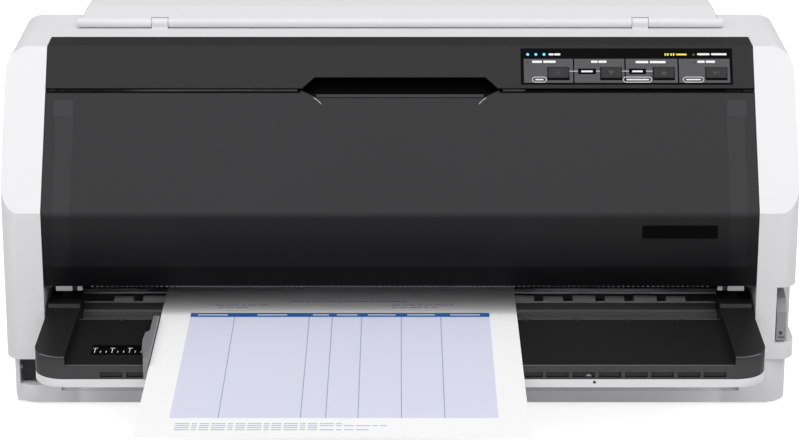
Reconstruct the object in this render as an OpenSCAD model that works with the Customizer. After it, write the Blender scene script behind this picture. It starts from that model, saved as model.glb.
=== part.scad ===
// Wide flatbed dot matrix printer, built as an assembly of separate pieces.
// Depths (d) are measured from the front edge of the sheet table towards the back,
// heights (z) from the desk, and x to the right as seen from the front.

/* [Case] */
// Overall width of the printer
body_w = 480; // [470:2:520]
// Depth from the front edge of the sheet table to the back of the case
body_d = 370; // [364:2:400]
// Height to the top of the rear cover
body_h = 221; // [217:1:236]
// Wall of the moulded cases
wall = 3; // [2.5:0.25:3.5]
// Height of the rubber feet
foot_h = 2; // [1.5:0.25:3]
// Height of the seam between the lower and the upper case
seam_z = 30.5; // [29.5:0.5:32.5]
// Step from the outside of the upper case to the lower case
case_step = 3.3; // [3:0.1:4]
// Depth of the lower case's front face
lower_front = 82; // [81:0.5:83]
// Height of the rear cover above the case top
lid_rise = 10; // [8:0.5:12]
// Radius of the upright corners of the upper case
corner_r = 12; // [8:1:16]
// Radius of the case's long top edges
edge_r = 14; // [8:1:18]

/* [Front shape] */
// Height of the scoop's floor in the right cheek
scoop_z0 = 41; // [40:0.5:44]
// Depth of the crease across the cheeks and the cover
crease_d = 80; // [78:1:82]
// Height of the crease
crease_z = 124; // [119:1:129]
// How far the face below the crease leans back towards its foot
face_lean = 1; // [0:0.5:2]
// Depth at which the slope reaches the top
top_front = 143; // [141:1:146]
// Depth at which the top starts to fall to the back
top_back = 224; // [216:2:232]
// Width of each cheek beside the mouth
cheek_w = 24.7; // [24:0.1:26]

/* [Back shape] */
// Height at which the rounded tail starts above the back face
back_top_z = 111; // [107:1:117]
// Height of the tail's upper bend
tail_z = 123; // [119:1:129]
// Length of the tail's slant, measured along the depth
tail_run = 8; // [4:1:12]

/* [Control panel] */
// Skin of the panel and of the cover
skin = 2.5; // [2:0.1:3]
// Length of the panel's sloped part
panel_h = 27.3; // [25.4:0.1:28]
// Gap between the top edge of the cover and the panel
cover_gap = 1.9; // [1.1:0.1:6.1]
// Depth of the panel's flat top strip
strip_d = 23; // [18:1:26]
// Width of the finger notch at its mouth
notch_w = 119; // [90:1:130]
// Width of the finger notch at its inner edge
notch_inner_w = 104; // [76:1:110]
// Height of the notch in the panel
notch_h = 7.2; // [5:0.2:8]
// Height of the dip in the cover's top edge
dip_h = 1.9; // [1:0.1:3]
// Depth of the pocket behind the notch
pocket_depth = 10; // [8:1:12]
// Width of the control plate
plate_w = 128.8; // [120:0.2:134]
// Height of the control plate
plate_h = 23.4; // [22:0.2:24]
// Thickness of the control plate
plate_t = 0.5; // [0.3:0.1:0.8]
// Distance from the control plate to the panel's right end
plate_margin = 12.7; // [6.5:0.1:20.5]
// Distance from the plate's top edge to the panel's upper edge
plate_drop = 1.6; // [1:0.1:2.5]
// Width of a button
button_w = 12.5; // [10:0.5:14]
// Height of a button
button_h = 6.8; // [5:0.2:8]
// Pitch of the buttons
button_pitch = 32; // [28:1:33]
// Distance from the panel's upper edge to the button's centre
button_drop = 17.8; // [16:0.2:19]
// How far a button stands proud of the plate
button_proud = 1; // [0.8:0.1:1.6]
// Travel of a button
button_travel = 0.8; // [0.5:0.1:0.8]

/* [Printer cover] */
// Height of the cover's bottom edge
cover_foot_z = 77; // [74:0.5:79]
// Depth of the cover's hinge pins
hinge_d = 99; // [98:0.5:100]
// Height of the cover's hinge pins
hinge_z = 84; // [83:0.5:86]
// Radius of the hinge pins
hinge_pin_r = 3; // [2:0.25:3.5]
// Radius of the cover's hinge ears
ear_r = 7.5; // [6:0.5:8]
// Thickness of the cover's hinge ears
ear_t = 4; // [3:0.5:4.5]

/* [Rear cover] */
// Depth of the rear cover's hinge
lid_hinge_d = 189; // [186:1:192]
// Radius of the rear cover's hinge barrel
lid_barrel_r = 3.1; // [2.8:0.1:3.4]
// Depth at which the rear cover reaches its full height
lid_crest_d = 206; // [202:1:210]
// Distance from the rear cover's ends to the sides of the case
lid_inset = 38.5; // [35:0.5:50]
// How far the rear cover's ends slant inwards
lid_end_slant = 5.6; // [2:0.2:8]
// Distance from the rear cover's back edge to the back of the case
lid_back_gap = 20; // [14:1:26]

/* [Sheet table] */
// Height of the sheet table's surface
table_z = 57; // [56:0.5:58]
// Depth of the flat of the sheet table
table_d = 80; // [74:1:84]
// Gap between the sheet table and the cheeks
table_gap = 2.3; // [1.8:0.1:5.3]
// Width of the table's arms
arm_w = 19; // [17:0.5:23]
// Height of the arms above the table's surface
arm_rise = 6; // [4:0.5:6]
// Height of the raised rear part above the arms
arm_step = 2.5; // [1:0.5:3]
// Depth at which the raised rear part starts
arm_step_d = 83; // [80:1:86]
// Length of the arms
arm_len = 108; // [104:1:109]
// Height of the front lip below the table's surface
lip_h = 8; // [7:0.5:9]
// Radius of the table's front corners
table_r = 18; // [12:1:22]
// Thickness of the white front shelf
shelf_h = 5; // [4:0.5:6]
// Pitch of the slots in the front lip
slot_pitch = 15.2; // [14:0.1:18]
// Width of the bars between the slots
slot_bar = 2.2; // [1.5:0.1:3]
// Pitch of the notches in the table's rear edge
notch_pitch = 30.6; // [26:0.2:36]

/* [Paper] */
// Width of the form
paper_w = 216; // [180:1:220]
// Length of the form
paper_len = 279; // [250:1:297]
// Thickness of the multi-part form
paper_t = 0.4; // [0.2:0.05:0.5]
// How far the form lies out in front of the table
paper_out = 107; // [80:1:130]
// Left edge of the form from the middle of the printer
paper_left = 145; // [140:1:160]

/* [Feed rollers] */
// Distance from the ends of the table's arms to the front feed roller
roller_lead = 14; // [13:0.5:16]
// Distance from the front feed roller to the platen
platen_gap = 28; // [27:0.5:29]
// Distance from the platen to the rear feed roller
rear_gap = 30; // [29:0.5:31]
// Module of the gears
gear_m = 1; // [0.9:0.05:1]
// Face width of the gears
gear_w = 5; // [4:0.5:5.5]
// Teeth of the platen gear
platen_teeth = 24; // [24:1:25]
// Teeth of the feed roller gears
roller_teeth = 14; // [14:1:14]
// Teeth of the two small idler gears
idler_teeth = 16; // [16:1:17]
// Teeth of the motor pinion
pinion_teeth = 12; // [12:1:13]
// Teeth of the tractor shaft's gear
tractor_teeth = 20; // [19:1:21]
// Clearance between the paper path and the rollers
roller_gap = 0.3; // [0.2:0.05:0.5]
// Radius of the platen's shaft
platen_shaft_r = 4; // [3:0.25:5]
// Radius of the feed rollers' shafts
feed_shaft_r = 3; // [2.5:0.25:3.5]
// Pitch of the rubber rings on the feed rollers
ring_pitch = 38; // [34:1:44]
// Width of a rubber ring
ring_w = 14; // [10:1:18]

/* [Carriage] */
// Width of the carriage
carriage_w = 40; // [36:1:42]
// Distance of the resting carriage from the left side frame
carriage_rest = 55; // [45:5:355]
// Radius of the carriage rod
rod_r = 4; // [3.5:0.25:4.5]
// Distance from the rear feed roller to the carriage rod
rod_gap = 4; // [2:0.5:5]
// Height of the carriage rod
rod_z = 89; // [88:0.5:91]
// Radius of the belt pulleys
pulley_r = 8; // [7:0.25:8]
// Distance of the pulleys from the side frames
pulley_inset = 19; // [18.5:0.25:19.5]
// Thickness of the timing belt
belt_t = 1.2; // [1:0.1:1.5]
// Width of the timing belt
belt_w = 6; // [5:0.5:6]
// Radius of the carriage motor
motor_r = 14; // [12:0.5:14]
// Height of the carriage motor
motor_h = 30; // [24:1:36]

/* [Tractors] */
// Distance from the rear feed roller to the tractors' drive shaft
tractor_gap = 60; // [58:0.5:61]
// Height of the tractors' drive shaft
tractor_z = 67; // [66:0.5:68]
// Radius of the tractors' drive shaft
tractor_shaft_r = 4; // [3:0.25:4]
// Distance from the tractors' drive shaft to their support rod
support_gap = 24; // [22:0.5:26]
// Height of the tractors' support rod
support_z = 63; // [62:0.5:64]
// Distance of the left tractor from the left side frame
left_tractor_inset = 55; // [45:2:65]
// Place of the right tractor from the middle
right_tractor_x = 75; // [60:1:90]

/* [Fits] */
// Gap between moulded pieces
fit = 0.3; // [0.2:0.05:0.4]
// Running fit of shafts and pins
run_fit = 0.05; // [0.03:0.01:0.08]
// Thickness of the steel side frames
frame_t = 2; // [1.5:0.25:2.5]
// Distance from the side frames to the sides of the mouth
frame_inset = 10.3; // [9.8:0.1:10.8]

/* [Hidden] */
$fn = 48;
tiny = 0.01;
front_y = -(body_d - paper_out) / 2;
half_w = body_w / 2;
mouth = half_w - cheek_w;
top_z = body_h - lid_rise;
tail_d = body_d - tail_run;
slope = [top_front - crease_d, top_z - crease_z];
slope_len = norm(slope);
panel_start = slope_len - panel_h;
cover_end = panel_start - cover_gap;
tilt = atan2(slope[1], slope[0]);
panel_half = mouth - fit;
strip_back = top_front + strip_d;
plate_x = panel_half - plate_margin - plate_w / 2;
lid_w = body_w - 2 * lid_inset;
table_half = mouth - table_gap;
arms_half = table_half - arm_w;
arm_z = table_z + arm_rise;
shelf_top = table_z - lip_h;
shelf_z = shelf_top - shelf_h;
floor_z = foot_h + wall;
frame_in = mouth - frame_inset;
frame_out = frame_in + frame_t;
frame_front = arm_len + 4;
front_roller_d = arm_len + roller_lead;
platen_d = front_roller_d + platen_gap;
rear_roller_d = platen_d + rear_gap;
rod_d = rear_roller_d + rod_gap;
tractor_d = rear_roller_d + tractor_gap;
support_d = tractor_d + support_gap;
carriage_x = carriage_rest - frame_in;
pulley_x = frame_in - pulley_inset;
left_tractor_x = left_tractor_inset - frame_in;
lower_half = half_w - case_step;
lower_back = body_d - case_step;
path_z = table_z - roller_gap;
platen_r = gear_m * platen_teeth / 2;
roller_r = gear_m * roller_teeth / 2;
platen_z = path_z - platen_r;
roller_z = path_z - roller_r;
gear_x = -(frame_out + 1.5 + gear_w);
paper_x0 = -paper_left;
paper_d0 = -paper_out;
plate_top = slope_len - plate_drop;
button_s = slope_len - button_drop;
inner_wall_end = strip_back - 6;

// Depth of the cheek's face at a height below the crease
function face_d(z) = crease_d + face_lean * (crease_z - z) / (crease_z - seam_z);
// Height of the case's rear slope at a depth
function back_z(d) = top_z - (top_z - tail_z) * (d - top_back) / (tail_d - top_back);

// Geometry of outlines in a plane
function left_of(a, b) = let (u = (b - a) / norm(b - a)) [-u[1], u[0]];
function meet(p, u, q, v) = p + u * cross(q - p, v) / cross(u, v);
function shifted_corner(a, b, c, t) = meet(a + t * left_of(a, b), b - a, b + t * left_of(b, c), c - b);
function inset(p, t) = let (n = len(p))
    [for (i = [0 : n - 1]) shifted_corner(p[(i + n - 1) % n], p[i], p[(i + 1) % n], t)];
function side_path(p, t) = let (n = len(p))
    [for (i = [0 : n - 1])
        i == 0 ? p[0] + t * left_of(p[0], p[1])
        : i == n - 1 ? p[i] + t * left_of(p[i - 1], p[i])
        : shifted_corner(p[i - 1], p[i], p[i + 1], t)];
function band(p, t) = let (q = side_path(p, t), n = len(p))
    concat(p, [for (i = [n - 1 : -1 : 0]) q[i]]);

// Third corner of a triangle on a base a-b, with its distances from a and b
function apex(a, b, ra, rb, side) = let (
    v = b - a, l = norm(v), u = v / l, k = (ra * ra - rb * rb + l * l) / (2 * l),
    h = sqrt(ra * ra - k * k)) a + k * u + side * h * [-u[1], u[0]];
function heading(a, b) = atan2(b[1] - a[1], b[0] - a[0]);
function pitch_r(n) = gear_m * n / 2;
// Phase of a gear of nb teeth that meshes with one of na teeth, phase pa, along angle t
function mesh_phase(t, pa, na, nb) = t + 180 + (t - pa) * na / nb + 180 / nb;

// Gear centres in the (d, z) plane
platen_c = [platen_d, platen_z];
front_c = [front_roller_d, roller_z];
rear_c = [rear_roller_d, roller_z];
idler_span = pitch_r(platen_teeth) + pitch_r(idler_teeth);
roller_span = pitch_r(roller_teeth) + pitch_r(idler_teeth);
front_idler_c = apex(platen_c, front_c, idler_span, roller_span, 1);
rear_idler_c = apex(platen_c, rear_c, idler_span, roller_span, -1);
pinion_angle = -20;
pinion_c = rear_idler_c
    + (pitch_r(idler_teeth) + pitch_r(pinion_teeth)) * [cos(pinion_angle), sin(pinion_angle)];
tractor_c = [tractor_d, tractor_z];
// The large idler reaches from the rear feed roller's gear to the tractor shaft's gear
idler_slack = 4.5;
tractor_idler_teeth = round((norm(tractor_c - rear_c) + idler_slack) / gear_m
    - (roller_teeth + tractor_teeth) / 2);
tractor_idler_c = apex(rear_c, tractor_c, pitch_r(roller_teeth) + pitch_r(tractor_idler_teeth),
    pitch_r(tractor_teeth) + pitch_r(tractor_idler_teeth), 1);

// Gear phases, each from the gear that it meshes with
front_idler_p = mesh_phase(heading(platen_c, front_idler_c), 0, platen_teeth, idler_teeth);
rear_idler_p = mesh_phase(heading(platen_c, rear_idler_c), 0, platen_teeth, idler_teeth);
front_roller_p = mesh_phase(heading(front_idler_c, front_c), front_idler_p, idler_teeth, roller_teeth);
rear_roller_p = mesh_phase(heading(rear_idler_c, rear_c), rear_idler_p, idler_teeth, roller_teeth);
pinion_p = mesh_phase(pinion_angle, rear_idler_p, idler_teeth, pinion_teeth);
tractor_idler_p = mesh_phase(heading(rear_c, tractor_idler_c), rear_roller_p, roller_teeth,
    tractor_idler_teeth);
tractor_p = mesh_phase(heading(tractor_idler_c, tractor_c), tractor_idler_p, tractor_idler_teeth,
    tractor_teeth);

// An outline in the (d, z) plane, w long in x from x0
module along_x(p, x0, w) translate([x0, 0, 0]) rotate([90, 0, 90]) linear_extrude(w) polygon(p);
// A box given by its lowest corner and its highest corner
module block(a, b) translate(a) cube(b - a);
// A shaft, or the cutter of a bore, along x
module shaft(c, r, x0, x1) translate([x0, c[0], c[1]]) rotate([0, 90, 0]) cylinder(r = r, h = x1 - x0);
// Local x stays, local y runs up the slope from the crease, local z points outwards
module on_slope(x, s, lift) translate([0, crease_d, crease_z]) rotate([tilt, 0, 0])
    translate([x, s, lift]) children();
module both_sides() for (m = [0, 1]) mirror([m, 0, 0]) children();

// A rectangle whose two front and two back corners are rounded
module rounded_plan(x, d0, d1, rf, rb) difference() {
    translate([-x, d0]) square([2 * x, d1 - d0]);
    for (m = [0, 1]) mirror([m, 0]) {
        translate([x - rf, d0]) difference() {
            translate([0, -1]) square([rf + 1, rf + 1]);
            translate([0, rf]) circle(rf);
        }
        translate([x - rb, d1 - rb]) difference() {
            square([rb + 1, rb + 1]);
            circle(rb);
        }
    }
}

module front_outline(x, z0, z1, r) rotate([90, 0, 0]) translate([0, 0, -2 * body_d])
    linear_extrude(3 * body_d) difference() {
        translate([-x, z0]) square([2 * x, z1 - z0]);
        for (m = [0, 1]) mirror([m, 0]) translate([x - r, z1 - r]) difference() {
            square([r + 1, r + 1]);
            circle(r);
        }
    }

function main_profile(zb) = [[face_d(zb), zb], [body_d, zb], [body_d, back_top_z], [tail_d, tail_z],
    [top_back, top_z], [top_front, top_z], [crease_d, crease_z]];

// The upper case as a full volume, moved inwards by t; zb is its lower end
module case_volume(t, zb) intersection() {
    along_x(inset(main_profile(zb - t), t), -half_w, body_w);
    translate([0, 0, zb - 5]) linear_extrude(body_h)
        rounded_plan(half_w - t, crease_d + t, body_d - t, corner_r - t, corner_r - t);
    front_outline(half_w - t, zb - 5, top_z - t, edge_r - t);
}

scoop_x = half_w - 12.4;
scoop_z1 = cover_foot_z;
scoop_d = 112;
lever_c = [102, 64];
lever_pin_r = 2.5;
lid_open_w = lid_w / 2 - 13;
lid_open_d0 = lid_hinge_d + 7;
lid_back_d = body_d - lid_back_gap;
lid_lug_x = lid_w / 2 - 51.5;
lid_lug_w = 10;
lid_axis = [lid_hinge_d, top_z + fit + lid_barrel_r];
lid_pin_r = 1.5;
slot_half = lid_open_w;
slot_z0 = 75;
slot_z1 = 105;
port_z = 37;
port_lead = 6;
inlet = [-(half_w - 56), 28, 21];
parallel = [half_w - 180, 56, 14];
usb = [half_w - 206, 12, 12];
cover_slot = [half_w - 112, 62, 20];
screw_x = half_w - 14;
screw_ds = [132, 300];
boss_r = 4;
boss_top = 60;
screw_r = 1.5;

module port_cut(p) block([p[0] - fit, body_d - wall - 1, port_z - fit],
    [p[0] + p[1] + fit, body_d + 1, port_z + p[2] + fit]);

module upper_case() color("#f1f1f3") difference() {
    union() {
        difference() {
            case_volume(0, seam_z);
            difference() {
                case_volume(wall, seam_z - 6);
                // inner walls of the cheeks, and the liner of the scoop
                both_sides() block([mouth, 0, 0], [mouth + wall, inner_wall_end, body_h]);
                block([scoop_x - wall, 0, scoop_z0 - wall], [half_w, scoop_d + wall, scoop_z1 + wall]);
            }
            block([-mouth, -1, 0], [mouth, strip_back + fit, body_h]);
            block([scoop_x, 0, scoop_z0], [half_w + 1, scoop_d, scoop_z1]);
            block([-lid_open_w, lid_open_d0, slot_z1 + 16], [lid_open_w, lid_back_d - 8, body_h]);
            block([-slot_half, body_d - wall - 1, slot_z0], [slot_half, body_d + 1, slot_z1]);
            for (p = [inlet, parallel, usb, cover_slot]) port_cut(p);
        }
        // hinge pins of the printer cover
        both_sides() shaft([hinge_d, hinge_z], hinge_pin_r, mouth - ear_t - fit, mouth + wall);
        // pivot of the release lever
        shaft(lever_c, lever_pin_r, scoop_x - wall, half_w - 5);
        // lugs and pins of the rear cover
        both_sides() {
            block([lid_lug_x - lid_lug_w / 2, lid_axis[0] - 2.5, top_z - wall],
                [lid_lug_x + lid_lug_w / 2, lid_axis[0] + 2.5, lid_axis[1]]);
            shaft(lid_axis, lid_barrel_r, lid_lug_x - lid_lug_w / 2, lid_lug_x + lid_lug_w / 2);
            shaft(lid_axis, lid_pin_r, lid_lug_x - lid_lug_w, lid_lug_x + lid_lug_w);
        }
        // screw bosses
        both_sides() for (d = screw_ds) difference() {
            union() {
                translate([screw_x, d, floor_z]) cylinder(r = boss_r, h = boss_top - floor_z);
                block([screw_x, d - 1, seam_z + 8], [half_w - wall / 2, d + 1, boss_top]);
            }
            translate([screw_x, d, 0]) cylinder(r = screw_r + run_fit, h = boss_top - 10);
        }
    }
}

switch_x0 = -(half_w - 7.7);
switch_x1 = -(half_w - 33);
switch_z0 = 13;
pocket_back = lower_front + 14;
switch_w = 19;
switch_c = [pocket_back - 3, (switch_z0 + seam_z) / 2 - 0.3];
switch_pin_r = 1.5;
recess_half = half_w - 33;
recess_z = 9.5;
recess_d = 6;
post_x = recess_half - 57;

module lower_plan(t) rounded_plan(lower_half - t, lower_front + t, lower_back - t, corner_r + 4 - t,
    corner_r - t);

module lower_case() color("#b6b6ba") {
    lower_tray();
    // pin of the power switch
    shaft(switch_c, switch_pin_r, switch_x0 - tiny, switch_x1 + tiny);
}

module lower_tray() difference() {
    union() {
        difference() {
            translate([0, 0, foot_h]) linear_extrude(seam_z - foot_h) lower_plan(0);
            translate([0, 0, floor_z]) linear_extrude(seam_z) lower_plan(wall);
        }
        // lip that the upper case slips over
        translate([0, 0, floor_z - tiny]) linear_extrude(seam_z + 4 - floor_z) difference() {
            lower_plan(max(face_d(seam_z) + wall + fit - lower_front, wall + fit - case_step));
            lower_plan(wall + 2);
            translate([-mouth - wall - fit, 0]) square([2 * (mouth + wall + fit), inner_wall_end + 1]);
        }
        // walls behind the long recess and the switch pocket
        block([-recess_half - wall, lower_front + 1, foot_h],
            [recess_half + wall, lower_front + recess_d + wall, seam_z]);
        block([switch_x0 - wall + 1, lower_front + wall, foot_h],
            [switch_x1 + wall, pocket_back + wall, seam_z]);
        // screen between the case and the front shelf
        block([-recess_half, lower_front + recess_d, seam_z - tiny],
            [recess_half, lower_front + recess_d + wall, shelf_z - fit]);
        // posts under the front shelf
        both_sides() block([post_x - 6, lower_front + recess_d + 4, foot_h],
            [post_x + 6, arm_len - 6, shelf_top - 2]);
    }
    block([-recess_half, 0, recess_z], [recess_half, lower_front + recess_d, seam_z + 1]);
    block([switch_x0, 0, switch_z0], [switch_x1, pocket_back, seam_z + 10]);
    both_sides() for (d = screw_ds) translate([screw_x, d, 0]) {
        cylinder(r = screw_r + 0.3, h = floor_z + 1);
        cylinder(r = 3.5, h = foot_h + 2);
    }
}

module rubber_feet() color("#3a3a3c") both_sides()
    for (d = [lower_front + 30, lower_back - 30]) translate([half_w - 40, d, 0]) cylinder(r = 9, h = foot_h);

module case_screws() color("#8c8e92") both_sides() for (d = screw_ds) translate([screw_x, d, 0]) {
    translate([0, 0, foot_h + 0.4]) cylinder(r = 3, h = 1.5);
    translate([0, 0, foot_h + 1.5]) cylinder(r = screw_r, h = seam_z);
}

module power_switch() color("#1c1c1e") difference() {
    along_x([[switch_c[0] - 4.5, switch_z0 + 1.5], [pocket_back - 1.2, switch_z0 + 1.5],
        [pocket_back - 1.2, seam_z - 2], [switch_c[0] - 4.5, seam_z - 2],
        [switch_c[0] - 3.5, switch_c[1]]], switch_x0 + 1.2, switch_w);
    for (i = [0 : 5]) translate([switch_x0 + 3.2 + 3 * i, 0, switch_z0])
        cube([1, switch_c[0] - 3.9, seam_z]);
    shaft(switch_c, switch_pin_r + run_fit, switch_x0, switch_x1);
}

panel_path = [for (p = [[panel_start, 0], [slope_len, 0]])
    [crease_d, crease_z] + p[0] * slope / slope_len];
module panel_cutters() {
    // finger notch
    on_slope(0, 0, -skin - 1) linear_extrude(skin + 2) polygon([[-notch_w / 2, panel_start - 4],
        [notch_w / 2, panel_start - 4], [notch_w / 2, panel_start],
        [notch_inner_w / 2, panel_start + notch_h],
        [-notch_inner_w / 2, panel_start + notch_h], [-notch_w / 2, panel_start]]);
    for (i = [0 : 3]) on_slope(button_x(i) - button_w / 2 - fit, button_s - button_h / 2 - fit, -skin - 1)
        cube([button_w + 2 * fit, button_h + 2 * fit, skin + 2]);
}

module control_panel() color("#262628") {
    difference() {
        union() {
            along_x(band([panel_path[0], panel_path[1], [strip_back, top_z]], -skin), -panel_half,
                2 * panel_half);
            // rear lip and end webs
            block([-panel_half, strip_back - skin, top_z - 9], [panel_half, strip_back, top_z - 1]);
            both_sides() along_x([panel_path[0] + [1.5, -1.5], [strip_back - 1, panel_path[0][1] - 1.5],
                [strip_back - 1, top_z - 1], [top_front, top_z - 1]], panel_half - skin, skin);
        }
        panel_cutters();
    }
    // pocket behind the finger notch
    difference() {
        on_slope(-notch_w / 2 - 3, panel_start - 8, -skin - pocket_depth)
            cube([notch_w + 6, notch_h + 12, pocket_depth + 0.5]);
        on_slope(-notch_w / 2 - 1, panel_start - 9, -pocket_depth)
            cube([notch_w + 2, notch_h + 11, pocket_depth + 1]);
        on_slope(-notch_w / 2 - 4, panel_start - 9, -skin - fit - 0.2) cube([notch_w + 8, 9 + fit, 10]);
    }
    // pegs that carry the panel board
    for (x = [-1, 1], s = [-1, 1])
        on_slope(plate_x + x * (plate_w / 2 - 6), button_s + s * 7, -board_lift)
            cylinder(r = 2, h = board_lift - skin + 0.5);
}

board_lift = 10.5;
function button_x(i) = plate_x - 41.6 + i * button_pitch;

module panel_plate() color("#9a9a9e") difference() {
    on_slope(plate_x - plate_w / 2, plate_top - plate_h, 0) cube([plate_w, plate_h, plate_t]);
    panel_cutters();
}

module panel_board() color("#2f6b3c") {
    on_slope(plate_x - plate_w / 2 + 3, button_s - 10, -board_lift - 1.6) cube([plate_w - 6, 20, 1.6]);
    for (i = [0 : 3]) on_slope(button_x(i) - 3, button_s - 3, -board_lift - 0.5) cube([6, 6, 3.9]);
}

module panel_button(i) color("#4c4c50") {
    on_slope(button_x(i) - button_w / 2, button_s - button_h / 2, -skin - 1.2)
        cube([button_w, button_h, skin + 1.2 + plate_t + button_proud]);
    on_slope(button_x(i) - button_w / 2 - 1.2, button_s - button_h / 2 - 1.2, -skin - 1.4)
        cube([button_w + 2.4, button_h + 2.4, 1]);
    on_slope(button_x(i), button_s, -board_lift + 3.4 + button_travel + 0.1)
        cylinder(r = 1.6, h = board_lift - skin - 4.4 - button_travel);
}
module menu_button() panel_button(0);
module line_feed_button() panel_button(1);
module load_button() panel_button(2);
module pause_button() panel_button(3);

module table_plan(d1) rounded_plan(table_half, 0, d1, table_r, 2);

module front_shelf() color("#e6e6ea") difference() {
    translate([0, 0, shelf_z]) linear_extrude(shelf_h) table_plan(arm_len + 4);
    translate([0, 0, shelf_z - 1]) linear_extrude(shelf_h - 1)
        rounded_plan(table_half - wall, wall, arm_len + 1, table_r - wall, 1);
}

slots_end = arms_half - 4;
slot_count = floor((arms_half + slots_end - 6) / slot_pitch);
notch_pairs = floor(arms_half / notch_pitch);
module sheet_table() color("#2c2c2e") difference() {
    union() {
        translate([0, 0, shelf_top]) linear_extrude(lip_h) intersection() {
            table_plan(arm_len);
            translate([-table_half, 0]) square([2 * table_half, table_d]);
        }
        translate([0, 0, shelf_top]) linear_extrude(lip_h + arm_rise) arm_plan();
        translate([0, 0, shelf_top]) linear_extrude(lip_h + arm_rise + arm_step) intersection() {
            arm_plan();
            translate([-table_half, arm_step_d]) square([2 * table_half, arm_len]);
        }
    }
    // hollow below the table and the arms
    block([-arms_half, 3.5, shelf_top - 1], [arms_half, table_d - 3, table_z - 3]);
    both_sides() block([arms_half + 3, table_r + 1, shelf_top - 1],
        [table_half - 3, arm_len - 3, arm_z - 3]);
    // slots in the front lip
    for (i = [1 : slot_count]) block([slots_end - i * slot_pitch + slot_bar / 2, -1, shelf_top + 1.2],
        [slots_end - (i - 1) * slot_pitch - slot_bar / 2, 2, shelf_top + 4.4]);
    // notches in the rear edge
    for (i = [-notch_pairs : notch_pairs - 1])
        block([(i + 0.5) * notch_pitch - 1, table_d - 2.5, table_z - 1.5],
            [(i + 0.5) * notch_pitch + 1, table_d + 1, table_z + 1]);
}

module arm_plan() intersection() {
    table_plan(arm_len);
    union() {
        translate([-table_half, 0]) square([table_half - arms_half, arm_len]);
        translate([arms_half, 0]) square([table_half - arms_half, arm_len]);
    }
}

bar_d = arm_len - 15;
bar_top = table_z - 0.8;
module cross_bar() color("#303032") along_x([[bar_d, shelf_top], [bar_d + 18, shelf_top],
    [bar_d + 18, bar_top], [bar_d + 6, bar_top], [bar_d + 5, bar_top - 2.2], [bar_d + 3, bar_top - 2.2],
    [bar_d + 2, bar_top], [bar_d, bar_top]], -arms_half + fit, 2 * (arms_half - fit));

module paper_guide_plate() color("#8e9094") difference() {
    block([-frame_in + fit, frame_front + 0.5, table_z - 1.8],
        [frame_in - fit, tractor_d - 16, table_z - 0.6]);
    for (w = [[front_roller_d, roller_r], [platen_d, platen_r], [rear_roller_d, roller_r]])
        block([-frame_in + 4, w[0] - w[1] - 1, table_z - 5], [frame_in - 4, w[0] + w[1] + 1, table_z + 1]);
}

module side_frame_plate(x0) difference() {
    along_x([[frame_front, floor_z], [support_d + 22, floor_z], [support_d + 22, support_z + 22],
        [tractor_d - 8, tractor_z + 20], [rod_d + 42, rod_z + 28], [rod_d - 4, rod_z + 48],
        [front_roller_d + 6, rod_z + 48], [frame_front, rod_z + 22]], x0, frame_t);
    for (c = [[platen_c, platen_shaft_r], [front_c, feed_shaft_r], [rear_c, feed_shaft_r],
            [tractor_c, tractor_shaft_r], [[support_d, support_z], 4], [[rod_d, rod_z], rod_r]])
        shaft(c[0], c[1] + run_fit, x0 - 1, x0 + frame_t + 1);
}

idler_pin_r = 2.5;
module left_side_frame() color("#9ea0a4") {
    side_frame_plate(-frame_out);
    for (c = [front_idler_c, rear_idler_c, tractor_idler_c])
        shaft(c, idler_pin_r, gear_x - 0.4, -frame_out + tiny);
}

thick_c = [rod_d - 19, rod_z + 34];
module right_side_frame() color("#9ea0a4") {
    side_frame_plate(frame_in);
    shaft(thick_c, 2.5, frame_in - 7, frame_in + tiny);
}

module thickness_lever() color("#2f6fae") difference() {
    union() {
        shaft(thick_c, 6, frame_in - 6, frame_in - fit);
        along_x([thick_c + [-4, 0], thick_c + [4, 0], thick_c + [-8, 34], thick_c + [-15, 34]],
            frame_in - 5.5, 4);
    }
    shaft(thick_c, 2.5 + run_fit, frame_in - 8, frame_in);
}

module carriage_rod() color("#c9cbd0") shaft([rod_d, rod_z], rod_r, -frame_out - 1, frame_out + 1);
module tractor_rod() color("#c9cbd0") shaft([support_d, support_z], 4, -frame_out - 1, frame_out + 1);

rail_z = rod_z + 14;
rail_d = rod_d + 19;
rail_back = rail_d + 21;
belt_z = rod_z + 6;
belt_front_d = rod_d + 13;
pulley_c_d = belt_front_d + pulley_r + fit + belt_t / 2;
module rear_rail() color("#a4a6aa") {
    difference() {
        union() {
            block([-frame_in + fit, rail_d, rail_z], [frame_in - fit, rail_back, rail_z + 2]);
            block([-frame_in + fit, rail_back - 2, rail_z], [frame_in - fit, rail_back, rail_z + 9]);
        }
        translate([pulley_x, pulley_c_d, rail_z - 1]) cylinder(r = 3, h = 4);
    }
    translate([-pulley_x, pulley_c_d, belt_z - 1]) cylinder(r = 2.5, h = rail_z + 1 - belt_z);
}

module pulley_at(x, bore) translate([x, pulley_c_d, belt_z - 0.5]) difference() {
    cylinder(r = pulley_r, h = belt_w + 1);
    translate([0, 0, -1]) cylinder(r = bore, h = belt_w + 3);
}
module drive_pulley() color("#c9b458") {
    pulley_at(pulley_x, 1);
    translate([pulley_x, pulley_c_d, belt_z - 0.5]) cylinder(r = 2.5, h = 22);
}
module idler_pulley() color("#e8e8ea") pulley_at(-pulley_x, 2.5 + run_fit);

module belt_loop(r) {
    for (x = [-1, 1]) translate([x * pulley_x, pulley_c_d]) circle(r);
    translate([-pulley_x, pulley_c_d - r]) square([2 * pulley_x, 2 * r]);
}
module timing_belt() color("#1d1d1f") translate([0, 0, belt_z]) linear_extrude(belt_w) difference() {
    belt_loop(pulley_r + fit + belt_t);
    belt_loop(pulley_r + fit);
}

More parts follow.
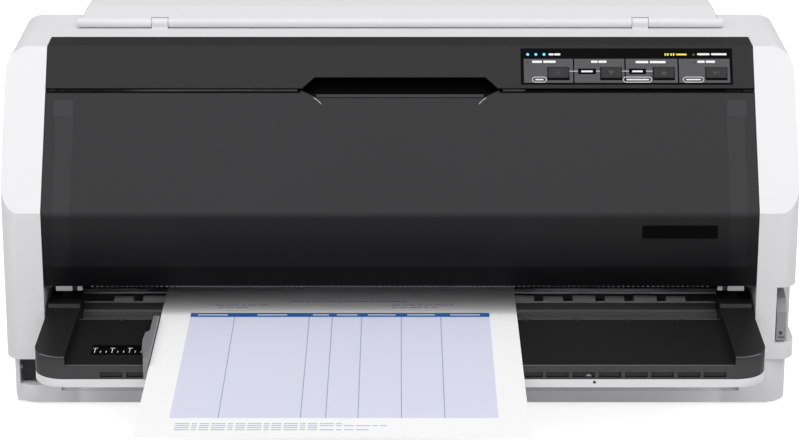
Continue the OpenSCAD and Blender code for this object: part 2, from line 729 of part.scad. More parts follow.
module carriage_motor() color("#3a3b3e") difference() {
    translate([pulley_x, pulley_c_d, rail_z + 2]) cylinder(r = motor_r, h = motor_h);
    translate([pulley_x, pulley_c_d, rail_z + 1]) cylinder(r = 2.5 + run_fit, h = 16);
    block([0, rail_back - 2.1, rail_z], [frame_in, rail_back + 16, rail_z + 9 + fit]);
}

feed_motor_r = 14;
module feed_motor() color("#3a3b3e") {
    difference() {
        shaft(pinion_c, feed_motor_r, -(half_w - 10), gear_x - 0.7);
        shaft(pinion_c, 1.5 + run_fit, gear_x - 12, gear_x + 1);
    }
    for (v = [[11.5, 0], [0, -11.5]]) shaft(pinion_c + v, 1.6, gear_x - 1, -frame_out);
}

// Involute-like tooth with straight flanks and a little backlash
backlash = 0.34;
addendum = 0.85;
dedendum = 1.15;
flank = 20;
function half_angle(n, dr) = (PI * gear_m / 4 - backlash / 2 - dr * tan(flank))
    / (pitch_r(n) + dr) * 180 / PI;
function polar(r, a) = [r * cos(a), r * sin(a)];
function gear_outline(n) = [for (i = [0 : n - 1], k = [0 : 3])
    let (a = 360 * i / n, up = addendum * gear_m, dn = -dedendum * gear_m)
        k == 0 ? polar(pitch_r(n) + dn, a - half_angle(n, dn))
        : k == 1 ? polar(pitch_r(n) + up, a - half_angle(n, up))
        : k == 2 ? polar(pitch_r(n) + up, a + half_angle(n, up))
        : polar(pitch_r(n) + dn, a + half_angle(n, dn))];
module gear(c, n, phase, bore) translate([gear_x, c[0], c[1]]) rotate([90, 0, 90])
    linear_extrude(gear_w) rotate(phase) difference() {
        polygon(gear_outline(n));
        circle(bore);
    }

module platen_gear() color("#e4e0d4") gear(platen_c, platen_teeth, 0, platen_shaft_r + run_fit);
module front_roller_gear() color("#e4e0d4")
    gear(front_c, roller_teeth, front_roller_p, feed_shaft_r + run_fit);
module rear_roller_gear() color("#e4e0d4")
    gear(rear_c, roller_teeth, rear_roller_p, feed_shaft_r + run_fit);
module front_idler_gear() color("#e4e0d4")
    gear(front_idler_c, idler_teeth, front_idler_p, idler_pin_r + run_fit);
module rear_idler_gear() color("#e4e0d4")
    gear(rear_idler_c, idler_teeth, rear_idler_p, idler_pin_r + run_fit);
module tractor_idler_gear() color("#e4e0d4")
    gear(tractor_idler_c, tractor_idler_teeth, tractor_idler_p, idler_pin_r + run_fit);
module feed_pinion() color("#c9b458") {
    gear(pinion_c, pinion_teeth, pinion_p, 1);
    shaft(pinion_c, 1.5, gear_x - 10, gear_x + gear_w);
}

module platen_roller() color("#2a2a2c") {
    shaft(platen_c, platen_shaft_r, gear_x - 0.5, frame_out + 2);
    shaft(platen_c, platen_r, -frame_in + 5, frame_in - 5);
}
module feed_roller(c) {
    color("#8c8e92") shaft(c, feed_shaft_r, gear_x - 0.5, frame_out + 2);
    color("#2a2a2c") for (i = [-4 : 4])
        shaft(c, roller_r, i * ring_pitch - ring_w / 2, i * ring_pitch + ring_w / 2);
}
module front_feed_roller() feed_roller(front_c);
module rear_feed_roller() feed_roller(rear_c);
module tractor_shaft() color("#c9cbd0") {
    shaft(tractor_c, tractor_shaft_r, gear_x - 0.5, frame_out + 2);
    gear(tractor_c, tractor_teeth, tractor_p, 1);
}

tractor_half = 11;
sprocket_r = 10;
flap_pin_z = tractor_z + sprocket_r + 3;
module tractor_at(x, side) translate([x, 0, 0]) mirror([side < 0 ? 1 : 0, 0, 0]) difference() {
    union() {
        for (s = [-1, 1]) block([s * (tractor_half - 1) - 1, tractor_d - 13, support_z - 7],
            [s * (tractor_half - 1) + 1, support_d + 10, tractor_z + sprocket_r - 1.5]);
        block([-tractor_half, support_d - 9, support_z - 7], [tractor_half, support_d + 10, support_z + 7]);
        // ears and pin of the flap
        for (d = [tractor_d - 13, support_d + 7]) block([tractor_half - 1, d, tractor_z],
            [tractor_half + 5, d + 3, flap_pin_z + 2]);
        translate([tractor_half + 2.5, support_d + 8, flap_pin_z]) rotate([90, 0, 0])
            cylinder(r = 1, h = support_d - tractor_d + 19);
    }
    shaft(tractor_c, tractor_shaft_r + 0.3, -20, 20);
    shaft([support_d, support_z], 4 + run_fit, -20, 20);
}
module left_tractor() color("#3c3d40") tractor_at(left_tractor_x, -1);
module right_tractor() color("#3c3d40") tractor_at(right_tractor_x, 1);

module sprocket_at(x) difference() {
    union() {
        shaft(tractor_c, sprocket_r, x - 5, x + 5);
        for (i = [0 : 7]) translate([x, tractor_d, tractor_z]) rotate([45 * i, 0, 0])
            cylinder(r = 1.4, h = sprocket_r + 1.6);
    }
    shaft(tractor_c, tractor_shaft_r + run_fit, x - 10, x + 10);
}
module left_sprocket() color("#5a5b5f") sprocket_at(left_tractor_x);
module right_sprocket() color("#5a5b5f") sprocket_at(right_tractor_x);

module flap_at(x, side) translate([x, 0, 0]) mirror([side < 0 ? 1 : 0, 0, 0]) difference() {
    union() {
        block([-tractor_half, tractor_d - 9, flap_pin_z - 1],
            [tractor_half + 2.5, support_d + 6.5, flap_pin_z + 1]);
        translate([tractor_half + 2.5, support_d + 6.5, flap_pin_z]) rotate([90, 0, 0])
            cylinder(r = 2, h = support_d - tractor_d + 15.5);
    }
    block([-2.6, tractor_d - 10, flap_pin_z - 3], [2.6, tractor_d + 14, flap_pin_z + 3]);
    translate([tractor_half + 2.5, support_d + 20, flap_pin_z]) rotate([90, 0, 0])
        cylinder(r = 1 + run_fit, h = support_d - tractor_d + 40);
}
module left_tractor_flap() color("#4a4b4f") flap_at(left_tractor_x, -1);
module right_tractor_flap() color("#4a4b4f") flap_at(right_tractor_x, 1);

module carriage() color("#3e3f43") translate([carriage_x, 0, 0]) difference() {
    union() {
        along_x([[rod_d - 19, rod_z - 12], [rod_d + 6, rod_z - 12], [rod_d + 6, rod_z + 22],
            [rod_d - 19, rod_z + 22]], -carriage_w / 2, carriage_w);
        for (s = [-1, 1]) block([s * (carriage_w / 2 - 2) - 2, rod_d - 46, rod_z - 12],
            [s * (carriage_w / 2 - 2) + 2, rod_d - 18, rod_z + 10]);
        // belt clamp, and a hook that runs on the rear rail
        block([-8, rod_d + 4, rod_z - 8], [8, rail_d - 3, rail_z + 1.5]);
        along_x([[rod_d + 4, rail_z], [rail_d - 3, rail_z], [rail_d - 3, rail_z + 2.3],
            [rail_d + 7, rail_z + 2.3], [rail_d + 7, rail_z + 6], [rod_d + 4, rail_z + 6]], -3, 6);
    }
    shaft([rod_d, rod_z], rod_r + run_fit, -carriage_w, carriage_w);
    block([-carriage_w / 2, belt_front_d - belt_t / 2 - fit, rod_z - 18],
        [carriage_w / 2, belt_front_d + belt_t / 2 + fit, belt_z + belt_w + fit]);
}

head_z = rod_z - 18;
module print_head() color("#55565a") translate([carriage_x, 0, 0]) {
    block([-carriage_w / 2 + 4.2, rod_d - 46, head_z], [carriage_w / 2 - 4.2, rod_d - 19.2, head_z + 52]);
    for (i = [0 : 5]) block([-carriage_w / 2 + 2, rod_d - 44, head_z + 30 + 4 * i],
        [carriage_w / 2 - 2, rod_d - 22, head_z + 32 + 4 * i]);
    block([-5, platen_d - 6, table_z + 1.8], [5, platen_d + 6, head_z + tiny]);
}

cartridge_z = rod_z;
cartridge_d = platen_d - 56;
cartridge_w = 26;
module ribbon_cartridge() color("#232325") {
    block([-frame_in + fit, cartridge_d, cartridge_z],
        [frame_in - fit, cartridge_d + cartridge_w, cartridge_z + 18]);
    both_sides() along_x([[cartridge_d + cartridge_w - 1, cartridge_z + 18],
        [cartridge_d + cartridge_w - 1, cartridge_z], [platen_d - 10, table_z + 4],
        [platen_d + 8, table_z + 4], [platen_d + 8, table_z + 14], [platen_d - 18, cartridge_z + 18]],
        frame_in - 12, 9);
    translate([knob_x, cartridge_d + 12, cartridge_z + 17]) cylinder(r = 2.5, h = 8);
}
knob_x = frame_in - 55;
module ribbon_knob() color("#7fa8c9")
    translate([knob_x, cartridge_d + 12, cartridge_z + 18 + fit]) difference() {
        union() {
            cylinder(r = 8, h = 6);
            for (i = [0 : 7]) rotate(45 * i) translate([7, -1, 0]) cube([2, 2, 6]);
        }
        translate([0, 0, -1]) cylinder(r = 2.5 + run_fit, h = 9);
    }

cover_outer = [[crease_d, crease_z] + cover_end * slope / slope_len, [crease_d, crease_z],
    [face_d(cover_foot_z) + 2, cover_foot_z]];
module printer_cover() color("#2b2b2d") difference() {
    union() {
        along_x(band(cover_outer, skin), -panel_half, 2 * panel_half);
        both_sides() {
            shaft([hinge_d, hinge_z], ear_r, panel_half - ear_t, panel_half);
            along_x([cover_outer[2], [hinge_d, hinge_z - ear_r], [hinge_d + 2, hinge_z + ear_r],
                [crease_d + skin + 6, crease_z], [crease_d + 1, crease_z]], panel_half - ear_t, ear_t);
        }
    }
    both_sides() shaft([hinge_d, hinge_z], hinge_pin_r + run_fit, panel_half - ear_t - 1, mouth + 1);
    // dip for the finger
    on_slope(0, 0, -skin - 1) linear_extrude(skin + 2) polygon([[-notch_w / 2, cover_end + 4],
        [-notch_w / 2, cover_end], [-notch_inner_w / 2, cover_end - dip_h],
        [notch_inner_w / 2, cover_end - dip_h], [notch_w / 2, cover_end], [notch_w / 2, cover_end + 4]]);
}

tear_pitch = 3;
module tear_off_edge() color("#bfc1c6") difference() {
    block([-panel_half + ear_t + 1, face_d(cover_foot_z) + 2 + skin, cover_foot_z],
        [panel_half - ear_t - 1, face_d(cover_foot_z) + 3.2 + skin, cover_foot_z + 12]);
    for (i = [-68 : 67]) translate([i * tear_pitch + tear_pitch / 2, 80, cover_foot_z])
        rotate([0, 45, 0]) cube([0.9, 20, 0.9], center = true);
}

lid_rear_z = back_z(lid_back_d) + lid_rise;
lid_outer = [[lid_hinge_d, lid_axis[1] + lid_barrel_r], lid_axis, [top_back, top_z + fit],
    [lid_back_d, back_z(lid_back_d) + fit * 1.3], [lid_back_d, lid_rear_z],
    [top_back + 3, body_h], [lid_crest_d, body_h]];
module rear_cover() color("#f1f1f3") difference() {
    union() {
        intersection() {
            along_x(lid_outer, -lid_w / 2, lid_w);
            rotate([90, 0, 0]) translate([0, 0, -2 * body_d]) linear_extrude(3 * body_d) polygon([
                [-lid_w / 2, 0], [lid_w / 2, 0], [lid_w / 2, top_z], [lid_w / 2 - lid_end_slant, body_h],
                [-lid_w / 2 + lid_end_slant, body_h], [-lid_w / 2, top_z]]);
        }
        shaft(lid_axis, lid_barrel_r, -lid_w / 2, lid_w / 2);
    }
    // hollow inside the cover
    along_x(inset([[lid_hinge_d + 5, top_z - 30], [lid_back_d, tail_z - 60], [lid_back_d, lid_rear_z],
        [top_back + 3, body_h], [lid_crest_d, body_h], [lid_hinge_d + 5, top_z + 6]], skin),
        -lid_w / 2 + lid_end_slant + skin, lid_w - 2 * (lid_end_slant + skin));
    both_sides() {
        shaft(lid_axis, lid_barrel_r + fit, lid_lug_x - lid_lug_w / 2 - fit,
            lid_lug_x + lid_lug_w / 2 + fit);
        shaft(lid_axis, lid_pin_r + run_fit, lid_lug_x - lid_lug_w - fit, lid_lug_x + lid_lug_w + fit);
    }
}

module release_lever() color("#b9babd") difference() {
    union() {
        shaft(lever_c, 5.5, scoop_x + 1, half_w - 5.5);
        along_x([[82, scoop_z0 + 1.6], [86, scoop_z0 + 1.6], [92, scoop_z0 + 11],
            [lever_c[0], lever_c[1] - 5.5], [lever_c[0], lever_c[1] + 5.5], [90, lever_c[1] + 3],
            [84.5, lever_c[1] - 4]],
            scoop_x + 1, 6);
    }
    shaft(lever_c, lever_pin_r + run_fit, scoop_x, half_w);
}

guide_x = -paper_left - 0.5;
module edge_guide() color("#77787c") {
    along_x([[-1.2, table_z + fit], [78, table_z + fit], [78, table_z + 3], [70, table_z + 5],
        [-1.2, table_z + 5]], guide_x - 3, 3);
    along_x([[-1.8, shelf_top + 0.5], [-0.3, shelf_top + 0.5], [-0.3, table_z + fit],
        [12, table_z + fit], [12, table_z + 1.6], [-1.8, table_z + 1.6]], guide_x - 3, 3);
    // finger grip beside the blade
    translate([guide_x, 0, table_z + fit]) linear_extrude(3.7)
        polygon([[-2, 4], [-1, 4], [-1, 50], [-3, 50], [-5.6, 46], [-6.2, 34], [-5.4, 20], [-3.2, 5]]);
}

module paper_form() color("#e9ebf3")
    block([paper_x0, paper_d0, table_z], [paper_x0 + paper_w, paper_d0 + paper_len, table_z + paper_t]);

board_z = floor_z + 5;
board_x = half_w - 260;
board_d = body_d - 138;
module main_board() color("#2f6b3c") {
    block([board_x, board_d, board_z], [frame_in - 11, lower_back - wall - 2, board_z + 1.6]);
    for (x = [board_x + 8, frame_in - 19], d = [board_d + 8, lower_back - 16.7])
        translate([x, d, floor_z]) cylinder(r = 3, h = 5);
    translate([board_x, board_d, board_z + 1.6]) {
        translate([60, 38, 0]) cube([24, 24, 2.4]);
        translate([100, 28, 0]) cube([30, 20, 4.4]);
        for (i = [0 : 3]) translate([150 + 14 * i, 32, 0]) cylinder(r = 4.5, h = 12);
    }
}

module power_supply() color("#8a8c90") {
    translate([9 - frame_in, body_d - 132, floor_z]) {
        cube([136, 94, 3]);
        translate([6, 6, 3 - tiny]) cube([50, 56, 29]);
        for (i = [0 : 2]) translate([76 + 22 * i, 32, 3 - tiny]) cylinder(r = 8, h = 26);
    }
}

module port_body(p, depth) block([p[0], body_d - depth, port_z], [p[0] + p[1], body_d - 0.3, port_z + p[2]]);
module ac_inlet() color("#1d1d1f") {
    difference() {
        port_body(inlet, 24);
        block([inlet[0] + 2, body_d - 17, port_z + 2],
            [inlet[0] + inlet[1] - 2, body_d + 1, port_z + inlet[2] - 2]);
    }
    for (v = [[-7, 8], [0, 12], [7, 8]])
        block([inlet[0] + inlet[1] / 2 + v[0] - 1, body_d - 18, port_z + v[1] - 2],
            [inlet[0] + inlet[1] / 2 + v[0] + 1, body_d - port_lead, port_z + v[1] + 2]);
}
module parallel_port() color("#b9bbc0") {
    difference() {
        port_body(parallel, 30);
        block([parallel[0] + 1.5, body_d - 10, port_z + 1.5],
            [parallel[0] + parallel[1] - 1.5, body_d + 1, port_z + parallel[2] - 1.5]);
    }
    block([parallel[0] + 5, body_d - 10.5, port_z + 6],
        [parallel[0] + parallel[1] - 5, body_d - port_lead, port_z + 8]);
}
module usb_port() color("#b9bbc0") {
    difference() {
        port_body(usb, 24);
        block([usb[0] + 1, body_d - 14, port_z + 1], [usb[0] + usb[1] - 1, body_d + 1, port_z + usb[2] - 1]);
    }
    block([usb[0] + 4, body_d - 14.5, port_z + 5],
        [usb[0] + usb[1] - 4, body_d - port_lead, port_z + 7]);
}
module slot_cover() color("#9ea0a4")
    block([cover_slot[0], body_d - 2, port_z],
        [cover_slot[0] + cover_slot[1], body_d - 0.5, port_z + cover_slot[2]]);

// The whole printer stands in its own frame: the origin is below the middle of its box
module in_frame() translate([0, front_y, 0]) children();

in_frame() lower_case();
in_frame() rubber_feet();
in_frame() upper_case();
in_frame() control_panel();
in_frame() panel_plate();
in_frame() panel_board();
in_frame() front_shelf();
in_frame() sheet_table();
in_frame() left_side_frame();
in_frame() right_side_frame();
in_frame() cross_bar();
in_frame() paper_guide_plate();
in_frame() carriage_rod();
in_frame() rear_rail();
in_frame() carriage_motor();
in_frame() feed_motor();
in_frame() main_board();
in_frame() power_supply();
in_frame() ac_inlet();
in_frame() parallel_port();
in_frame() usb_port();
in_frame() slot_cover();
in_frame() case_screws();
in_frame() timing_belt();
in_frame() tractor_rod();
in_frame() ribbon_cartridge();
in_frame() printer_cover();
in_frame() tear_off_edge();
in_frame() rear_cover();
in_frame() power_switch();
in_frame() menu_button();
in_frame() line_feed_button();
in_frame() load_button();
in_frame() pause_button();
in_frame() release_lever();
in_frame() thickness_lever();
in_frame() edge_guide();
in_frame() carriage();
in_frame() print_head();
in_frame() drive_pulley();
in_frame() idler_pulley();
in_frame() ribbon_knob();
in_frame() platen_roller();
in_frame() platen_gear();
in_frame() front_feed_roller();
in_frame() front_roller_gear();
in_frame() rear_feed_roller();
in_frame() rear_roller_gear();
in_frame() front_idler_gear();
in_frame() rear_idler_gear();
in_frame() feed_pinion();
in_frame() tractor_idler_gear();
in_frame() tractor_shaft();
in_frame() left_tractor();
in_frame() right_tractor();
in_frame() left_sprocket();
in_frame() right_sprocket();
in_frame() left_tractor_flap();
in_frame() right_tractor_flap();
in_frame() paper_form();
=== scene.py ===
"""Wide flatbed dot matrix printer: finishes, fine shapes, light and view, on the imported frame."""

import math

import bmesh
import bpy
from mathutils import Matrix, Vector


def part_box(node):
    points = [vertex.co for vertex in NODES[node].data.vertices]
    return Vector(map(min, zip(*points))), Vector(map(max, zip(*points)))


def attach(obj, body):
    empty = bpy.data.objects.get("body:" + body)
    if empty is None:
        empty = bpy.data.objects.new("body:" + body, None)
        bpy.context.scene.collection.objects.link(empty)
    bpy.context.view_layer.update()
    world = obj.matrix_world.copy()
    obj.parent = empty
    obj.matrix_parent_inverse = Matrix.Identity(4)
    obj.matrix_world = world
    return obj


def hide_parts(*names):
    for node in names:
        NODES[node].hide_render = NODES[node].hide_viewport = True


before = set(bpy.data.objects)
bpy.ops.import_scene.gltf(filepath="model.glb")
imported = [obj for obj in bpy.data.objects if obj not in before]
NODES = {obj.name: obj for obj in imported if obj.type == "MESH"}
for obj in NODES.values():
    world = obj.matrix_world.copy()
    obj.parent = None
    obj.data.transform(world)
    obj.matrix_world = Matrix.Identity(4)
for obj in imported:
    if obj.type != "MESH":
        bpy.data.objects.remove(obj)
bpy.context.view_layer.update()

bl_info = {
    "name": "Flatbed Dot Matrix Printer",
    "version": (1, 0, 0),
    "blender": (4, 5, 0),
    "location": "3D Viewport > Sidebar > Printer",
    "description": "Finishes and fine shapes of a wide flatbed dot matrix printer",
    "category": "Object",
}

MM = 0.001

# Places that the fine shapes share with the solids, in millimetres
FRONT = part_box("sheet_table")[0].y / MM
EAR_R, EAR_OVER_FOOT = 7.5, 7.0
COVER_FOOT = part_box("printer_cover")[0].z / MM + EAR_R - EAR_OVER_FOOT
FACE_H, SLOPE_DEPTH, SLOPE_H = 47.0, 63.0, 87.0
CREASE = (80.0, COVER_FOOT + FACE_H)
SLOPE_LEN = math.hypot(SLOPE_DEPTH, SLOPE_H)
RUN, RISE = SLOPE_DEPTH / SLOPE_LEN, SLOPE_H / SLOPE_LEN
TABLE_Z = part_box("paper_form")[0].z / MM
FORM_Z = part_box("paper_form")[1].z / MM
PLATE_LIFT = 0.5


# ---- places

def spot(x, d, z):
    """A point from millimetres: x to the right, d behind the table's front edge, z above the desk."""
    return Vector((x, d + FRONT, z)) * MM


def on_slope(x, s, lift):
    """A point on the sloped front: s runs up from the crease, lift stands out from the surface."""
    return spot(x, CREASE[0] + s * RUN - lift * RISE, CREASE[1] + s * RISE + lift * RUN)


def on_flat(z):
    """Places on a level surface at height z."""
    return lambda x, d, lift: spot(x, d, z + lift)


def on_front(depth):
    """Places on an upright face that looks to the front."""
    return lambda x, z, lift: spot(x, depth - lift, z)


def along_x(d, z, x):
    """A place on an outline in the depth and height plane that runs along x."""
    return spot(x, d, z)


# ---- mesh tools

SHARP = 30


def rounded_box(a0, b0, a1, b1, r=0.0, steps=4):
    """Outline of a rectangle with rounded corners, counter-clockwise."""
    r = min(r, (a1 - a0) / 2 - 1e-4, (b1 - b0) / 2 - 1e-4)
    if r <= 0:
        return [(a0, b0), (a1, b0), (a1, b1), (a0, b1)]
    points = []
    corners = ((a1 - r, b0 + r, -90), (a1 - r, b1 - r, 0), (a0 + r, b1 - r, 90), (a0 + r, b0 + r, 180))
    for ca, cb, start in corners:
        for i in range(steps + 1):
            t = math.radians(start + 90 * i / steps)
            points.append((ca + r * math.cos(t), cb + r * math.sin(t)))
    return points


def disc(a, b, r, steps=24):
    """Outline of a circle."""
    return [(a + r * math.cos(2 * math.pi * i / steps), b + r * math.sin(2 * math.pi * i / steps))
            for i in range(steps)]


def round_corner(first, corner, last, r, steps):
    """An open path from first to last by way of a rounded corner."""
    p = Vector(corner)
    u, v = (Vector(first) - p).normalized(), (Vector(last) - p).normalized()
    half = u.angle(v) / 2
    centre = p + (u + v).normalized() * (r / math.sin(half))
    start, end = p + u * (r / math.tan(half)) - centre, p + v * (r / math.tan(half)) - centre
    arc = [tuple(centre + start.lerp(end, k / steps).normalized() * r) for k in range(steps + 1)]
    return [first, *arc, last]


def offset_path(points, t):
    """An open path moved to its left by t."""
    ways = [(Vector(b) - Vector(a)).normalized() for a, b in zip(points, points[1:])]
    lefts = [Vector((-e.y, e.x)) for e in ways]
    out = []
    for p, one, two in zip(points, lefts[:1] + lefts, lefts + lefts[-1:]):
        n = (one + two).normalized()
        out.append(tuple(Vector(p) + n * (t / n.dot(one))))
    return out


def band(points, t):
    """Closed outline of a sheet that follows an open path, t thick to its left."""
    return list(points) + offset_path(points, t)[::-1]


def both_sides(low, high):
    """The same stretch of x on the left and on the right."""
    return ((-high, -low), (low, high))


def slab(bm, place, outline, low, high):
    """A prism over an outline, from low to high above the surface that place maps to."""
    bottom = [bm.verts.new(place(a, b, low)) for a, b in outline]
    top = [bm.verts.new(place(a, b, high)) for a, b in outline]
    bm.faces.new(bottom[::-1])
    bm.faces.new(top)
    for i, j in around(len(outline)):
        bm.faces.new((bottom[i], bottom[j], top[j], top[i]))


def around(count):
    """Each place of a ring with the next one."""
    return [(i, (i + 1) % count) for i in range(count)]


def block(bm, low, high):
    """A box between two corners in millimetres."""
    slab(bm, spot, rounded_box(low[0], low[1], high[0], high[1]), low[2], high[2])


def frame_slab(bm, place, outer, inner, low, high):
    """A prism with an opening; both outlines have the same number of points."""
    rings = [[bm.verts.new(place(a, b, h)) for a, b in loop]
             for loop, h in ((outer, low), (outer, high), (inner, high), (inner, low))]
    for k, next_k in around(4):
        one, two = rings[k], rings[next_k]
        for i, j in around(len(outer)):
            bm.faces.new((one[i], one[j], two[j], two[i]))


def turned(bm, centre, axis, profile, steps=32):
    """A turned shape: profile is a list of (radius, distance along the axis); its ends are closed."""
    axis = Vector(axis).normalized()
    side = axis.orthogonal().normalized()
    other = axis.cross(side)
    rings = []
    for r, h in profile:
        turns = [2 * math.pi * i / steps for i in range(steps if r else 1)]
        rings.append([bm.verts.new(centre + (axis * h + (side * math.cos(t) + other * math.sin(t)) * r) * MM)
                      for t in turns])
    for one, two in zip(rings, rings[1:]):
        for i, j in around(steps):
            corners = (one[i % len(one)], one[j % len(one)], two[j % len(two)], two[i % len(two)])
            bm.faces.new(list(dict.fromkeys(corners)))
    for ring in (rings[0][::-1], rings[-1]):
        if len(ring) > 1:
            bm.faces.new(ring)


def piece(name, bm, body, slot, look, soften=0.0):
    """Closes a mesh into a named piece that rides on a body and has a finish."""
    obj = closed_object(name, bm)
    mesh = obj.data
    mesh.polygons.foreach_set("use_smooth", [True] * len(mesh.polygons))
    mesh.set_sharp_from_angle(angle=math.radians(SHARP))
    mesh.materials.append(finish(look))
    if soften:
        round_edges(obj, soften)
    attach(obj, body)
    return obj


def slabs(name, body, slot, look, place, outlines, low, high, soften=0.0):
    """A piece made of prisms that stand alike on one surface."""
    bm = bmesh.new()
    for outline in outlines:
        slab(bm, place, outline, low, high)
    return piece(name, bm, body, slot, look, soften)


def closed_object(name, bm):
    """An object from a closed mesh, its faces turned outwards."""
    bmesh.ops.recalc_face_normals(bm, faces=bm.faces)
    return mesh_object(name, bm)


def mesh_object(name, bm):
    mesh = bpy.data.meshes.new(name)
    bm.to_mesh(mesh)
    bm.free()
    return linked(name, mesh)


def linked(name, data):
    """An object with that data, in the scene."""
    obj = bpy.data.objects.new(name, data)
    bpy.context.scene.collection.objects.link(obj)
    return obj


def round_edges(obj, width, angle=SHARP, segments=2):
    """Rounds the sharp edges of a piece by a bevel of that width in millimetres."""
    bevel = obj.modifiers.new("rounded_edges", "BEVEL")
    bevel.width = width * MM
    bevel.segments = segments
    bevel.limit_method = "ANGLE"
    bevel.angle_limit = math.radians(angle)
    bevel.harden_normals = True
    bevel.miter_outer = "MITER_ARC"


def cut(obj, name, bm):
    """Cuts a closed shape out of a piece and leaves neither cutter nor modifier behind."""
    cutter = closed_object(name, bm)
    boolean = obj.modifiers.new(name, "BOOLEAN")
    boolean.operation = "DIFFERENCE"
    boolean.solver = "EXACT"
    boolean.object = cutter
    bpy.context.view_layer.update()
    graph = bpy.context.evaluated_depsgraph_get()
    mesh = bpy.data.meshes.new_from_object(obj.evaluated_get(graph))
    obj.modifiers.clear()
    obj.data = mesh
    bpy.data.objects.remove(cutter)


# ---- shader tools

class Shade:
    """Adds nodes to one material or node group; inputs may be values or other nodes' outputs."""

    def __init__(self, tree):
        self.tree = tree

    def add(self, kind, setup=None, **inputs):
        node = self.tree.nodes.new("ShaderNode" + kind)
        for key, value in (setup or {}).items():
            setattr(node, key, value)
        return self.feed(node, **inputs)

    def feed(self, node, **inputs):
        """Sets inputs of a node; an underscore stands for a space in an input's name."""
        for key, value in inputs.items():
            self.set(node.inputs[key.replace("_", " ")], value)
        return node

    def set(self, socket, value):
        if isinstance(value, bpy.types.NodeSocket):
            self.tree.links.new(value, socket)
        else:
            socket.default_value = value

    def calc(self, operation, *values, clamp=False):
        node = self.add("Math", {"operation": operation, "use_clamp": clamp})
        for socket, value in zip(node.inputs, values):
            self.set(socket, value)
        return node.outputs[0]

    def spread(self, value, low, high, to_low=0.0, to_high=1.0):
        node = self.add("MapRange", {"interpolation_type": "SMOOTHSTEP"}, Value=value, From_Min=low,
                        From_Max=high, To_Min=to_low, To_Max=to_high)
        return node.outputs["Result"]

    def vector(self, operation, *values):
        node = self.add("VectorMath", {"operation": operation})
        for socket, value in zip(node.inputs, values):
            self.set(socket, value)
        return node.outputs["Value" if operation in ("DOT_PRODUCT", "LENGTH") else "Vector"]

    def place(self):
        return self.add("TexCoord").outputs["Object"]

    def normal(self, axis):
        return self.add("SeparateXYZ", Vector=self.add("NewGeometry").outputs["Normal"]).outputs[axis]

    def noise(self, scale, detail, **inputs):
        return self.add("TexNoise", Scale=scale, Detail=detail, **inputs).outputs["Fac"]

    def plain_view(self):
        """1 for the rays that show the background: camera, glossy and transmission rays."""
        path = self.add("LightPath")
        seen = self.calc("MAXIMUM", path.outputs["Is Camera Ray"], path.outputs["Is Glossy Ray"])
        return self.calc("MAXIMUM", seen, path.outputs["Is Transmission Ray"])

    def mix(self, factor, one, two):
        node = self.add("Mix", {"data_type": "RGBA"}, Factor=factor)
        for socket, value in zip([s for s in node.inputs if s.type == "RGBA"], (one, two)):
            self.set(socket, value)
        return [s for s in node.outputs if s.type == "RGBA"][0]

    def group(self, name, **inputs):
        return self.add("Group", {"node_tree": effect(name)}, **inputs)


EFFECTS = {}


def socket_kind(value):
    """A number makes a float socket, three numbers a vector and four a colour."""
    if isinstance(value, float):
        return "NodeSocketFloat"
    return "NodeSocketVector" if len(value) == 3 else "NodeSocketColor"


def effect(name):
    """The node group of that name, built when it is first used."""
    tree = bpy.data.node_groups.get(name)
    if tree is None:
        inputs, outputs, build = EFFECTS[name]
        tree = bpy.data.node_groups.new(name, "ShaderNodeTree")
        for label, value in inputs.items():
            socket = tree.interface.new_socket(label, in_out="INPUT", socket_type=socket_kind(value))
            socket.default_value = value
        for label in outputs:
            kind = "NodeSocketColor" if label == "Colour" else "NodeSocketFloat"
            tree.interface.new_socket(label, in_out="OUTPUT", socket_type=kind)
        shade = Shade(tree)
        source, sink = tree.nodes.new("NodeGroupInput"), tree.nodes.new("NodeGroupOutput")
        for key, value in build(shade, source.outputs).items():
            shade.set(sink.inputs[key], value)
    return tree


def effect_of(inputs, outputs):
    """Registers the builder of a node group with its inputs and the names of its outputs."""
    def keep(build):
        EFFECTS[build.__name__] = (inputs, outputs, build)
        return build
    return keep


@effect_of({"Scale": 900.0, "Depth": 1.0}, ("Height", "Speckle"))
def moulded_grain(shade, given):
    place = shade.place()
    cells = shade.add("TexVoronoi", {"feature": "SMOOTH_F1"}, Vector=place, Scale=given["Scale"],
                      Smoothness=0.6).outputs["Distance"]
    fine = shade.noise(shade.calc("MULTIPLY", given["Scale"], 1.7), 2.0, Vector=place)
    relief = shade.calc("ADD", cells, shade.calc("MULTIPLY", fine, 0.5))
    speckle = shade.spread(fine, 0.35, 0.65)
    return {"Height": shade.calc("MULTIPLY", relief, given["Depth"]), "Speckle": speckle}


@effect_of({"Colour": (1.0, 1.0, 1.0, 1.0), "Amount": 0.03, "Scale": 7.0}, ("Colour", "Drift"))
def colour_drift(shade, given):
    broad = shade.noise(given["Scale"], 3.0, Vector=shade.place(), Roughness=0.55)
    swing = shade.calc("MULTIPLY", shade.calc("SUBTRACT", broad, 0.5), 2.0)
    value = shade.calc("ADD", 1.0, shade.calc("MULTIPLY", swing, given["Amount"]))
    colour = shade.add("HueSaturation", Color=given["Colour"], Value=value).outputs["Color"]
    return {"Colour": colour, "Drift": broad}


@effect_of({"Reach": 0.06, "Amount": 0.5}, ("Mask",))
def edge_wear(shade, given):
    point = shade.add("NewGeometry").outputs["Pointiness"]
    patches = shade.spread(shade.noise(60.0, 4.0, Vector=shade.place()), 0.35, 0.7)
    edge = shade.spread(point, 0.5, shade.calc("ADD", 0.5, given["Reach"]))
    worn = shade.calc("MULTIPLY", edge, patches)
    return {"Mask": shade.calc("MULTIPLY", worn, given["Amount"], clamp=True)}


